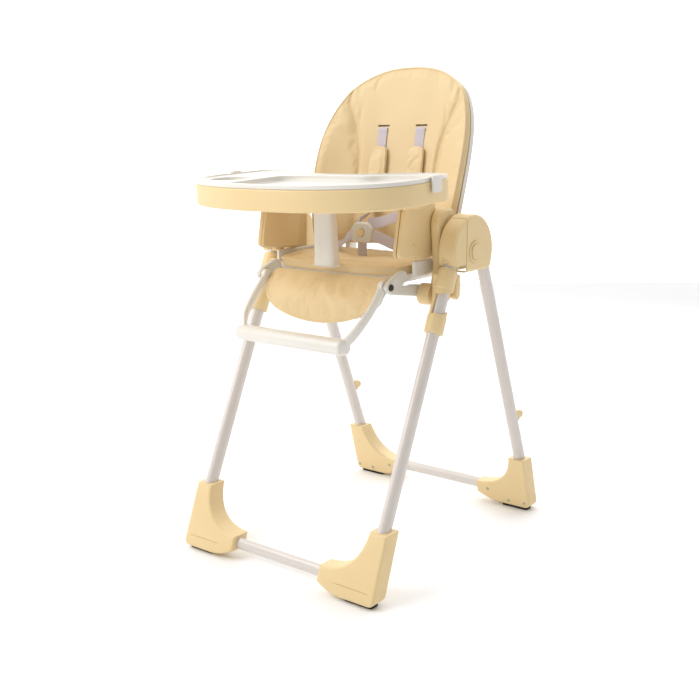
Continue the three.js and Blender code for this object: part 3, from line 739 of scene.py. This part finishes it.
def off_surface(surface, u, v, depth):
    """The point `depth` behind a surface, square to it."""
    step = 1e-3
    across = surface(u + step, v) - surface(u - step, v)
    up = surface(u, v + step) - surface(u, v - step)
    return surface(u, v) + up.cross(across).normalized() * depth


def panel(surface, near, far, across, up, rim_cuts=3, held=None):
    """A closed pad between two depths of a surface. held(u, v) marks what stitching holds down."""
    mesh = bmesh.new()
    hold = mesh.verts.layers.float.new("held")
    for depth in (near, far):
        made = bmesh.ops.create_grid(mesh, x_segments=across, y_segments=up, size=1)["verts"]
        for vert in made:
            u, v = vert.co.x, (vert.co.y + 1) / 2
            vert.co = off_surface(surface, u, v, depth)
            vert[hold] = 1.0 if depth == far or not held else held(u, v)
    rim = bmesh.ops.bridge_loops(mesh, edges=[e for e in mesh.edges if e.is_boundary])["faces"]
    across_rim = {e for f in rim for e in f.edges if not any(g not in rim for g in e.link_faces)}
    bmesh.ops.subdivide_edges(mesh, edges=list(across_rim), cuts=rim_cuts, use_grid_fill=True)
    bmesh.ops.recalc_face_normals(mesh, faces=mesh.faces)
    return mesh


CLOTH_FRAMES = 20


def stuffed(mesh, pressure, cap, slack=0.02):
    """Blows the cover up against its stitching with a cloth simulation, no point further than cap."""
    piece = shadow_object(mesh)
    rest = [v.co.copy() for v in piece.data.vertices]
    held = piece.vertex_groups.new(name="held")
    for i, value in enumerate(piece.data.attributes["held"].data):
        if value.value > 0:
            held.add([i], value.value, "REPLACE")
    cloth = piece.modifiers.new("cloth", "CLOTH")
    settings = cloth.settings
    settings.vertex_group_mass = "held"
    settings.use_pressure = True
    settings.uniform_pressure_force = pressure
    settings.shrink_min = -slack
    settings.effector_weights.gravity = 0
    cloth.point_cache.frame_end = CLOTH_FRAMES
    for step in range(1, CLOTH_FRAMES + 1):
        scene.frame_set(step)
    blown = piece.evaluated_get(bpy.context.evaluated_depsgraph_get()).to_mesh()
    moved = [v.co.copy() for v in blown.vertices]
    piece.modifiers.remove(cloth)
    scene.frame_set(1)
    for vert, before, after in zip(piece.data.vertices, rest, moved):
        shift = after - before
        vert.co = before + shift * min(1.0, cap / max(shift.length, 1e-9))
    result = bmesh.new()
    result.from_mesh(piece.data)
    bpy.data.objects.remove(piece)
    return result


def fined(mesh, levels=1):
    """The mesh after Catmull-Clark subdivision."""
    piece = shadow_object(mesh)
    step = piece.modifiers.new("fine", "SUBSURF")
    step.levels = step.render_levels = levels
    data = bpy.data.meshes.new_from_object(piece.evaluated_get(bpy.context.evaluated_depsgraph_get()))
    bpy.data.objects.remove(piece)
    result = bmesh.new()
    result.from_mesh(data)
    return result


def seam_x(z):
    """Half the width between the two long seams, which run apart towards the top."""
    t = min(max((z - BACK_WIDEST + 0.02) / 0.16, 0), 1)
    return 0.112 + 0.045 * t * t


SEAM_TOP = BACK_TOP - 0.055
SEAM_BOTTOM = BACK_BOTTOM + 0.004


def back_held(u, v):
    point = back_surface(u, v)
    on_seam = abs(abs(point.x) - seam_x(point.z)) < 0.0035 and point.z < SEAM_TOP
    return 1.0 if on_seam or max(abs(u), v) > 0.985 or v < 0.01 else 0.0


def pressed(mesh, distance, width, depth, outward):
    """Draws the cover down along a seam: distance(point) is how far a point is from the thread."""
    mesh.normal_update()
    for vert in mesh.verts:
        gap = distance(vert.co)
        if gap < 4 * width and vert.normal.dot(outward(vert.co)) > 0.3:
            vert.co -= vert.normal * depth * math.exp(-(gap / width) ** 2)
    return mesh


def seam_gap(point):
    over = max(point.z - SEAM_TOP, 0)
    return math.hypot(abs(abs(point.x) - seam_x(point.z)), over)


def soft_folds(mesh, height, scale, outward, seed):
    """Shallow waves where the cover hangs loose, fading at random over the panel."""
    mesh.normal_update()
    for vert in mesh.verts:
        if vert.normal.dot(outward(vert.co)) > 0.2:
            spot = vert.co * scale + Vector((seed, 0, 0))
            wave = noise.noise(Vector((spot.x * 1.6, spot.y, spot.z * 0.45)))
            patch = max(noise.noise(vert.co * 4 + Vector((0, seed, 0))) + 0.35, 0)
            vert.co += vert.normal * height * wave * patch
    return mesh


FORWARD = Vector((0, -1, 0))
cover = panel(back_surface, 0.006, BACK_PAD, 84, 88, held=back_held)
cover = fined(stuffed(cover, 5, 0.006))
cover = pressed(cover, seam_gap, 0.0035, 0.0028, lambda p: FORWARD)
cover = soft_folds(cover, 0.0035, 14, lambda p: FORWARD, 3.1)
slots = []
for sign in SIDES.values():
    x, z = sign * SLOT["x"], SLOT["z"]
    y = back_depth(x, z)
    slots.append(brick((x - SLOT["wide"] / 2, y - 0.03, z - SLOT["tall"] / 2),
                       (x + SLOT["wide"] / 2, y + 0.013, z + SLOT["tall"] / 2)))
cover = cut(cover, *slots)
back_cover = finished("backrest_liner", cover, leather, "backrest", ["backrest_pad"], 60)


def piping(line, radius=0.0024, sides=12):
    """A welt: a round cord inside a strip of the cover, sewn into the edge."""
    return swept(line, 2 * radius, 2 * radius, sides)


def stitches(mesh, line, pitch=0.0055, length=0.0036, radius=0.0005):
    """A row of thread stitches along a line of points, each a small rounded bar."""
    travelled, nearest = 0.0, 0.0
    for start, end in zip(line, line[1:]):
        span = (end - start).length
        while nearest < travelled + span:
            place = start.lerp(end, (nearest - travelled) / span)
            turn = (end - start).to_track_quat("Z", "X").to_matrix().to_4x4()
            shape = Matrix.Diagonal((radius, radius, length / 2, 1))
            bmesh.ops.create_icosphere(mesh, subdivisions=1, radius=1,
                                       matrix=Matrix.Translation(place) @ turn @ shape)
            nearest += pitch
        travelled += span
    return mesh


def along(values, first, last, count):
    return [values(first + (last - first) * k / count) for k in range(count + 1)]


def edge_line(surface, depth, first, last, steps, reach=0.98, steps_across=40):
    """Points on a cover's edge: along one side from v first to last, across, and back on the other."""
    def place(u, v):
        return off_surface(surface, u, v, depth)

    return (along(lambda v: place(-1, v), first, last, steps)
            + along(lambda u: place(u, last), -reach, reach, steps_across)
            + along(lambda v: place(1, v), last, first, steps))


edge = edge_line(back_surface, 0.007, 0.0, 1.0, 60)
finished("backrest_piping", piping(edge), leather, "backrest")

threads = bmesh.new()
for sign in SIDES.values():
    for offset in (-0.0045, 0.0045):
        def on_seam(z):
            x = sign * (seam_x(z) + offset)
            return Vector((x, back_depth(x, z) + 0.0005, z))
        line = along(on_seam, SEAM_BOTTOM + 0.01, SEAM_TOP - 0.004, 60)
        surface = back_cover.closest_point_on_mesh
        stitches(threads, [surface(p)[1] + surface(p)[2] * 0.0003 for p in line])
finished("backrest_stitching", threads, stitching, "backrest")

EAR_X, EAR_THICK = 0.130, 0.014
EAR_CORNERS = ((-0.016, -0.014), (0.016, -0.014), (0.004, 0.1), (-0.018, 0.1))  # y and z off the pivot
ear_outline = softened([(BACK_PIVOT.y + a, BACK_PIVOT.z + b) for a, b in EAR_CORNERS], 0.010)
shell = panel(back_surface, BACK_PAD + 0.001, BACK_PAD + 0.009, 60, 60, rim_cuts=2)
ears = []
for sign in SIDES.values():
    near, far = sorted((sign * EAR_X, sign * (EAR_X + EAR_THICK)))
    ears.append(plate(ear_outline, SIDE_ON, near, far, 0.002, 3))
pad_room = panel(back_surface, 0, BACK_PAD + 0.0006, 60, 60, rim_cuts=0)
shell = cut(joined(shell, *ears), pad_room)
finished("backrest_shell_moulding", shell, white, "backrest", ["backrest_shell"], 40)
eased("recline_lever", "recline_paddle", cream, "recline_lever", 0.0018, 4)


# ---------- seat and legrest liners ----------
# The same padded leatherette on the seat, its two sides and the legrest: a seat pad with a seam
# across its front lip, side liners on the armrests, and a legrest pad on a pale grey back plate.
seat_low, seat_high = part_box("seat_pad")
SEAT_HALF, SEAT_DISH, SEAT_LIP = 0.188, 0.005, 0.006
SEAT_PAD = seat_high.z - seat_low.z
SEAT_SEAM_V = 0.2


def seat_surface(u, v):
    """The seat's top: v from 0 at the front lip to 1 at the back, dished in the middle."""
    taper = 1 - 0.1 * (1 - v) ** 3
    dish = SEAT_DISH * (1 - u * u) * math.sin(math.pi * min(max(v, 0), 1))
    swept_back = 0.018 * abs(u) ** 4 * (1 - v)
    y = seat_low.y + swept_back + (seat_high.y - seat_low.y - swept_back) * v
    return Vector((u * SEAT_HALF * taper, y, seat_high.z - dish - SEAT_LIP * (1 - v) ** 4))


def seat_held(u, v):
    return 1.0 if max(abs(u), abs(2 * v - 1)) > 0.98 or abs(v - SEAT_SEAM_V) < 0.012 else 0.0


UP = Vector((0, 0, 1))
seat_seam_y = seat_surface(0, SEAT_SEAM_V).y
cover = panel(seat_surface, 0.004, SEAT_PAD, 70, 48, held=seat_held)
cover = fined(stuffed(cover, 4, 0.005))
cover = pressed(cover, lambda p: abs(p.y - seat_seam_y), 0.003, 0.0024, lambda p: UP)
cover = soft_folds(cover, 0.0025, 16, lambda p: UP, 7.7)
seat_cover = finished("seat_liner", cover, leather, "seat", ["seat_pad"], 60)

edge = edge_line(seat_surface, 0.006, 1.0, 0.0, 30)
finished("seat_piping", piping(edge), leather, "seat")
threads = bmesh.new()
for offset in (-0.004, 0.004):
    line = along(lambda u: seat_surface(u, SEAT_SEAM_V) + Vector((0, offset, 0)), -0.94, 0.94, 60)
    hits = [seat_cover.closest_point_on_mesh(p) for p in line]
    stitches(threads, [hit[1] + hit[2] * 0.0003 for hit in hits])
finished("seat_stitching", threads, stitching, "seat")

LEG_HALF, LEG_PAD, LEG_PLATE = 0.158, 0.020, 0.006
LEG_KNOTS = ((0.032, 0.018), (-0.030, -0.010), (-0.033, -0.088))  # y and z off the pivot
LEG_CURVE = [Vector((PIVOT.y + a, PIVOT.z + b)) for a, b in LEG_KNOTS]


def leg_surface(u, v):
    """The legrest's front: v from 0 under the seat's lip to 1 at its rounded lower end."""
    split = 0.45
    if v < split:
        x, share = u * LEG_HALF, v
    else:
        t = (v - split) / (1 - split)
        x = u * LEG_HALF * math.sqrt(1 - ROUND_OFF * t * t)
        share = split + (1 - split) * t * math.sqrt(1 - ROUND_OFF * u * u)
    share = min(max(share, 0), 1)
    start, pull, end = LEG_CURVE
    place = start * (1 - share) ** 2 + pull * 2 * share * (1 - share) + end * share * share
    return Vector((x, place.x, place.y))


def leg_held(u, v):
    return 1.0 if max(abs(u), v) > 0.975 or v < 0.02 else 0.0


LEG_FRONT = Vector((0, -0.8, 0.6))
cover = panel(leg_surface, -0.004, -LEG_PAD, 66, 48, held=leg_held)
cover = fined(stuffed(cover, 4, 0.005))
cover = soft_folds(cover, 0.0018, 16, lambda p: LEG_FRONT, 1.9)
leg_cover = finished("legrest_liner", cover, leather, "legrest", ["legrest_pad"], 60)
edge = edge_line(leg_surface, -0.005, 0.0, 1.0, 40)
finished("legrest_piping", piping(edge), leather, "legrest")
plate_mesh = panel(leg_surface, -LEG_PAD - 0.003, -LEG_PAD - 0.003 - LEG_PLATE, 48, 40, rim_cuts=2)
plate_mesh = cut(plate_mesh, panel(leg_surface, 0.002, -LEG_PAD - 0.0006, 48, 40, rim_cuts=0))
finished("legrest_plate", plate_mesh, pale_grey, "legrest", ["legrest_shell"], 40)

ARM_CORNERS = ((-0.150, 0.708), (-0.018, 0.698), (-0.006, 0.806),
               (-0.016, 0.826), (-0.112, 0.821), (-0.130, 0.812))
ARM_ORIGIN_Y = PIVOT.y + 0.158  # the corners' y counts from here, their z from the floor
ARM_INNER, ARM_OUTER, ARM_LINER = 0.1845, 0.2045, 0.009
CAP_RADIUS, CAP_Y, CAP_Z = 0.0065, ARM_ORIGIN_Y - 0.096, 0.728
arm_outline = softened([(a + ARM_ORIGIN_Y, b) for a, b in ARM_CORNERS], 0.014)
for side, sign in SIDES.items():
    arm = plate(arm_outline, SIDE_ON, ARM_INNER + ARM_LINER + 0.0003, ARM_OUTER, 0.0045, 5)
    cap = disc(CAP_RADIUS, ARM_OUTER - 0.001, ARM_OUTER + 0.0016, CAP_Y, CAP_Z, 32)
    rims_rounded(cap, 0.0008, 2)
    arm = joined(arm, cap)
    finished(f"armrest_moulding_{side}", to_side(arm, sign), cream, "seat",
             [f"armrest_{side}"], 40)
    liner = plate(arm_outline, SIDE_ON, ARM_INNER, ARM_INNER + ARM_LINER, 0.0042, 6)
    liner = finished(f"armrest_liner_{side}", to_side(liner, sign), leather, "seat", (), 60)
    line = [Vector((sign * (ARM_INNER + ARM_LINER - 0.0008), p.x, p.y)) for p in arm_outline]
    welt = piping([*line, line[0]], 0.0018, 10)
    finished(f"armrest_piping_{side}", welt, leather, "seat")


# ---------- harness ----------
# Five points of woven nylon webbing: two shoulder straps out of the backrest's slots through padded
# sleeves, two lap straps from the back corners of the seat, and a short strap to the buckle.
def woven():
    """Nylon webbing: fine ribs across the strap, crossed by its warp, in a pale lilac grey."""
    finish = Finish("lilac_grey_webbing", IOR=1.4, Sheen_Weight=0.2, Sheen_Roughness=0.5)
    uv = finish.node("ShaderNodeTexCoord", output="UV")
    wave = {"wave_type": "BANDS", "wave_profile": "SIN"}
    ribs = finish.node("ShaderNodeTexWave", {**wave, "bands_direction": "Y"}, {"Vector": uv, "Scale": 190}, 1)
    warp = finish.node("ShaderNodeTexWave", {**wave, "bands_direction": "X"}, {"Vector": uv, "Scale": 260}, 1)
    yarn = ribs * 0.6 + warp * 0.4
    fuzz = finish.speckle(700, 3.0)
    worn = 0.7 * yarn + 0.3 * fuzz
    finish.drive("Base Color", finish.between(worn, shade(176, 167, 176), shade(226, 217, 222)))
    finish.drive("Roughness", 0.7 + 0.2 * fuzz)
    finish.relief(yarn, 0.35, 0.8)
    return finish.material


webbing = woven()
STRAP_WIDE, STRAP_THICK = 0.026, 0.0018


def strap(line, facing):
    """A flat strap along a line of points. facing(i) is the way its face looks there."""
    mesh = bmesh.new()
    uv = mesh.loops.layers.uv.verify()
    cells = 8
    travelled, rows = 0.0, []
    for i, point in enumerate(line):
        ahead = (line[min(i + 1, len(line) - 1)] - line[max(i - 1, 0)]).normalized()
        out = facing(i)
        out = (out - ahead * out.dot(ahead)).normalized()
        across = ahead.cross(out)
        travelled += (point - line[i - 1]).length if i else 0
        row = []
        for k in range(cells + 1):
            share = k / cells - 0.5
            swell = STRAP_THICK / 2 * (1 - 0.5 * abs(2 * share) ** 4)
            middle = point + across * share * STRAP_WIDE
            row.append([mesh.verts.new(middle + out * s * swell) for s in (1, -1)])
        rows.append((travelled, row))
    for (start, near), (end, far) in zip(rows, rows[1:]):
        for k in range(cells):
            for s in (0, 1):
                face = mesh.faces.new((near[k][s], near[k + 1][s], far[k + 1][s], far[k][s]))
                places = ((k, start), (k + 1, start), (k + 1, end), (k, end))
                for loop, (cell, length) in zip(face.loops, places):
                    loop[uv].uv = (cell / cells * STRAP_WIDE, length)
        for k in (0, cells):
            mesh.faces.new((near[k][0], far[k][0], far[k][1], near[k][1]))
    for _, row in (rows[0], rows[-1]):
        for k in range(cells):
            mesh.faces.new((row[k][0], row[k][1], row[k + 1][1], row[k + 1][0]))
    bmesh.ops.recalc_face_normals(mesh, faces=mesh.faces)
    return mesh


buckle_low, buckle_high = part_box("buckle_body")
BUCKLE = (buckle_low + buckle_high) / 2
SLEEVE_LOW, SLEEVE_HIGH = (corner.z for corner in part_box("shoulder_pad_left"))
SLEEVE_MIDDLE, SLEEVE_TALL = (SLEEVE_LOW + SLEEVE_HIGH) / 2, (SLEEVE_HIGH - SLEEVE_LOW) / 2 - 0.002
SLEEVE_HALF, SLEEVE_THICK = 0.023, 0.011
STRAP_OFF, SLEEVE_OFF = 0.0022, 0.0048  # how far webbing and sleeve lie in front of the cover


def on_cover(x, z, off):
    """The point `off` in front of the backrest's cover at a place on it."""
    start = Vector((x, back_depth(x, z) - 0.1, z))
    hit, place, *_ = back_cover.ray_cast(start, Vector((0, 1, 0)))
    return (place if hit else Vector((x, back_depth(x, z), z))) + Vector((0, -off, 0))


def sleeve_held(u, v):
    return 1.0 if max(abs(u), abs(2 * v - 1)) > 0.93 else 0.0


for side, sign in SIDES.items():
    x = sign * SLOT["x"]
    top = SLOT["z"]
    threaded = [on_cover(x, top + 0.001, -0.014), on_cover(x, top - 0.0002, -0.004)]
    down = [on_cover(x, top - 0.006 - k * 0.012, STRAP_OFF) for k in range(15)]
    line = smooth_line(threaded + down, 3)
    finished(f"shoulder_webbing_{side}", strap(line, lambda i: FORWARD), webbing, "backrest",
             [f"shoulder_strap_{side}"], 60)

    start = down[-1]
    knots = [down[-2], start, Vector((sign * 0.050, start.y - 0.018, 0.785)),
             Vector((sign * 0.032, BUCKLE.y + 0.030, 0.766)),
             Vector((sign * 0.014, BUCKLE.y + 0.004, buckle_high.z - 0.003))]
    lower = strap(smooth_line(knots, 10), lambda i: Vector((sign * 0.25, -1, 0.25)))
    piece = finished(f"chest_webbing_{side}", lower, webbing, None, (), 60)
    start + Vector((0, 0, -0.004))
    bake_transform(piece)

    def sleeve_surface(u, v):
        z = SLEEVE_MIDDLE + (2 * v - 1) * SLEEVE_TALL * math.sqrt(1 - 0.2 * u * u)
        return on_cover(x + u * SLEEVE_HALF * math.sqrt(1 - 0.25 * (2 * v - 1) ** 4), z, SLEEVE_OFF)

    sleeve = panel(sleeve_surface, -SLEEVE_THICK * 0.65, 0.0, 18, 44, rim_cuts=2, held=sleeve_held)
    sleeve = finished(f"shoulder_sleeve_{side}", fined(stuffed(sleeve, 3, 0.0035)), leather, "backrest",
                      [f"shoulder_pad_{side}"], 60)
    welt_depth = -SLEEVE_THICK * 0.3
    edge = edge_line(sleeve_surface, welt_depth, 0.0, 1.0, 30, 0.9, 10)
    edge += along(lambda u: off_surface(sleeve_surface, u, 0.0, welt_depth), 0.9, -0.9, 10)
    welt = piping([*edge, edge[0]], 0.0014, 10)
    finished(f"shoulder_sleeve_piping_{side}", welt, leather, "backrest")

    seat_top = seat_high.z
    knots = [Vector((sign * 0.165, seat_high.y - 0.012, seat_top + 0.004)),
             Vector((sign * 0.135, seat_high.y - 0.050, seat_top + 0.007)),
             Vector((sign * 0.090, BUCKLE.y + 0.034, seat_top + 0.016)),
             Vector((sign * 0.055, BUCKLE.y + 0.012, seat_top + 0.034)),
             Vector((sign * 0.026, BUCKLE.y + 0.001, BUCKLE.z - 0.004))]

    def lap_facing(i):
        return Vector((sign * 0.15, -0.55 - 0.01 * i, 1 - 0.018 * i))

    lap = strap(smooth_line(knots, 10), lap_facing)
    finished(f"lap_webbing_{side}", lap, webbing, "seat", (), 60)

crotch_low, crotch_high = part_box("crotch_strap")
crotch_y = (crotch_low.y + crotch_high.y) / 2
millimetres = range(int(crotch_low.z * 1000), int(crotch_high.z * 1000) + 4, 3)
line = [Vector((0, crotch_y, z / 1000)) for z in millimetres]
finished("crotch_webbing", strap(line, lambda i: FORWARD), webbing, "seat",
         ["crotch_strap"], 60)
eased("buckle_body", "buckle_housing", pale_grey, "seat", 0.0016, 4)
eased("buckle_button", "buckle_release", cream, "buckle_button", 0.0008, 3)


# ---------- tray ----------
# A shallow cream tub with a rolled rim that slides along the armrests, and in it a lift-off white
# insert: one large hollow, a place for a cup, two snap clips, and a post below between the legs.
TRAY_WIDE, TRAY_FRONT, TRAY_REAR, TRAY_SIDE = 0.280, -0.225, 0.112, -0.040
TRAY_BAND, TRAY_RIM, TRAY_POWER = 0.046, 0.009, 2 / 2.35
slide_axis = joint("tray_slide")["axis"]
TRAY_SLOPE = math.atan2(-slide_axis[2], -slide_axis[1])
TRAY_PLACE = Vector((0, PIVOT.y + 0.008, PIVOT.z + 0.178))
TRAY_FRAME = Matrix.Translation(TRAY_PLACE) @ Matrix.Rotation(TRAY_SLOPE, 4, "X")


def tray_outline(inset=0.0):
    """The tray's plan, drawn in by `inset`: a broad rounded front and a hollow for the child's belly."""
    wide, front, rear = TRAY_WIDE - inset, TRAY_FRONT + inset, TRAY_REAR - inset
    turns = 56
    outline = []
    for k in range(turns + 1):
        c, s = math.cos(math.pi * k / turns), math.sin(math.pi * k / turns)
        x = wide * math.copysign(abs(c) ** TRAY_POWER, c)
        outline.append(Vector((x, TRAY_SIDE - (TRAY_SIDE - front) * abs(s) ** TRAY_POWER)))
    belly = rear - 0.074 + 0.4 * inset
    half = [*bend((-wide + 0.008, rear - 0.040), (-wide + 0.012, rear), (-wide + 0.046, rear), 12),
            *bend((-wide + 0.046, rear), (-wide + 0.096, rear), (-0.112, rear - 0.040), 12)[1:],
            *bend((-0.112, rear - 0.040), (-0.060, belly), (0, belly), 12)[1:]]
    return outline + half + [Vector((-p.x, p.y)) for p in reversed(half[:-1])]


FLAT = Matrix.Identity(4)


def slab(outline, near, far, radius=0.0, segments=4, both=False):
    return plate(outline, FLAT, near, far, radius, segments, both)


def on_tray(mesh):
    bmesh.ops.transform(mesh, matrix=TRAY_FRAME, verts=mesh.verts)
    return mesh


def dished(outline, floor, fillet):
    """A tool that cuts a hollow down to `floor`, with a round fillet at the foot of its wall."""
    mesh = bmesh.new()
    verts = [mesh.verts.new((a, b, floor)) for a, b in outline]
    bottom = mesh.faces.new(verts)
    lid = bmesh.ops.extrude_face_region(mesh, geom=[bottom], use_keep_orig=True)["geom"]
    top = next(g for g in lid if isinstance(g, bmesh.types.BMFace))
    bmesh.ops.translate(mesh, verts=top.verts, vec=(0, 0, 0.060))
    rounded_edges(mesh, list(bottom.edges), fillet, 6)
    bmesh.ops.recalc_face_normals(mesh, faces=mesh.faces)
    return mesh


RAIL_X, RAIL_HALF, CHEEK, RAIL_FRONT, RAIL_BACK = 0.1945, 0.020, 0.0085, 0.010, 0.090
base = slab(tray_outline(), 0.0, TRAY_BAND, 0.0045, 5, both=True)
base = cut(base, slab(tray_outline(0.004), 0.008, TRAY_BAND + 0.010))
rails = []
for sign in SIDES.values():
    inner, outer = sorted((sign * RAIL_X - RAIL_HALF, sign * RAIL_X + RAIL_HALF))
    rails.append(brick((inner, RAIL_FRONT, -0.003), (outer, RAIL_BACK, 0.001), 0.0008, 2))
    for cheek in (inner, outer - CHEEK):
        rails.append(brick((cheek, RAIL_FRONT, -0.016), (cheek + CHEEK, RAIL_BACK, 0.001), 0.0015, 3))
base = joined(base, *rails)
finished("tray_tub", on_tray(base), cream, "tray", ["tray_base"], 40)

RIM_TOP = TRAY_BAND + TRAY_RIM
MAIN_CORNERS = ((-0.112, -0.196), (0, -0.212), (0.170, -0.186), (0.252, -0.110), (0.262, 0.030),
                (0.238, 0.062), (0.128, 0.052), (0.096, 0.018), (-0.070, 0.014), (-0.120, -0.010))
CUP_PLACE, CUP_RADIUS = Vector((-0.190, -0.092)), 0.046


def ring(centre, radius, steps=64):
    angles = (2 * math.pi * k / steps for k in range(steps))
    return [Vector((centre.x + radius * math.cos(a), centre.y + radius * math.sin(a))) for a in angles]


insert = slab(tray_outline(0.0043), 0.0083, TRAY_BAND + 0.001)
rim = slab(tray_outline(0.002), TRAY_BAND + 0.0003, RIM_TOP, 0.003, 6)
insert = joined(insert, rim)
insert = cut(
    insert,
    slab(tray_outline(0.008), 0.0, 0.034),
    dished(tray_outline(0.013), RIM_TOP - 0.0035, 0.0024),
    dished(softened(MAIN_CORNERS, 0.034, 9), RIM_TOP - 0.016, 0.007),
    dished(ring(CUP_PLACE, CUP_RADIUS), RIM_TOP - 0.018, 0.005),
)
finished("tray_inlay", on_tray(insert), white, "tray_insert", ["tray_insert"], 40)

POST_LONG = 0.146
POST_TOP, POST_FLARE = Vector((0.050, 0.030)), 0.16
POST_Y = 0.004
post = bmesh.new()
section = softened([(-0.5, -0.5), (0.5, -0.5), (0.5, 0.5), (-0.5, 0.5)], 0.36, 8)
for share in (0, 1):
    size = POST_TOP * (1 + POST_FLARE * share)
    z = -0.0003 - POST_LONG * share
    post.faces.new([post.verts.new((a * size.x, POST_Y + b * size.y, z)) for a, b in section])
loops = [list(face.edges) for face in post.faces]
bmesh.ops.bridge_loops(post, edges=loops[0] + loops[1])
rounded_edges(post, loops[1], 0.005, 5)
finished("crotch_post_moulding", on_tray(post), white, "tray", ["crotch_post"], 40)

for side in SIDES:
    clip, latch = f"tray_clip_{side}", f"tray_latch_{side}"
    eased(clip, f"snap_clip_{side}", white, clip, 0.0012, 4)
    eased(latch, f"slide_latch_{side}", cream, latch, 0.0016, 4)
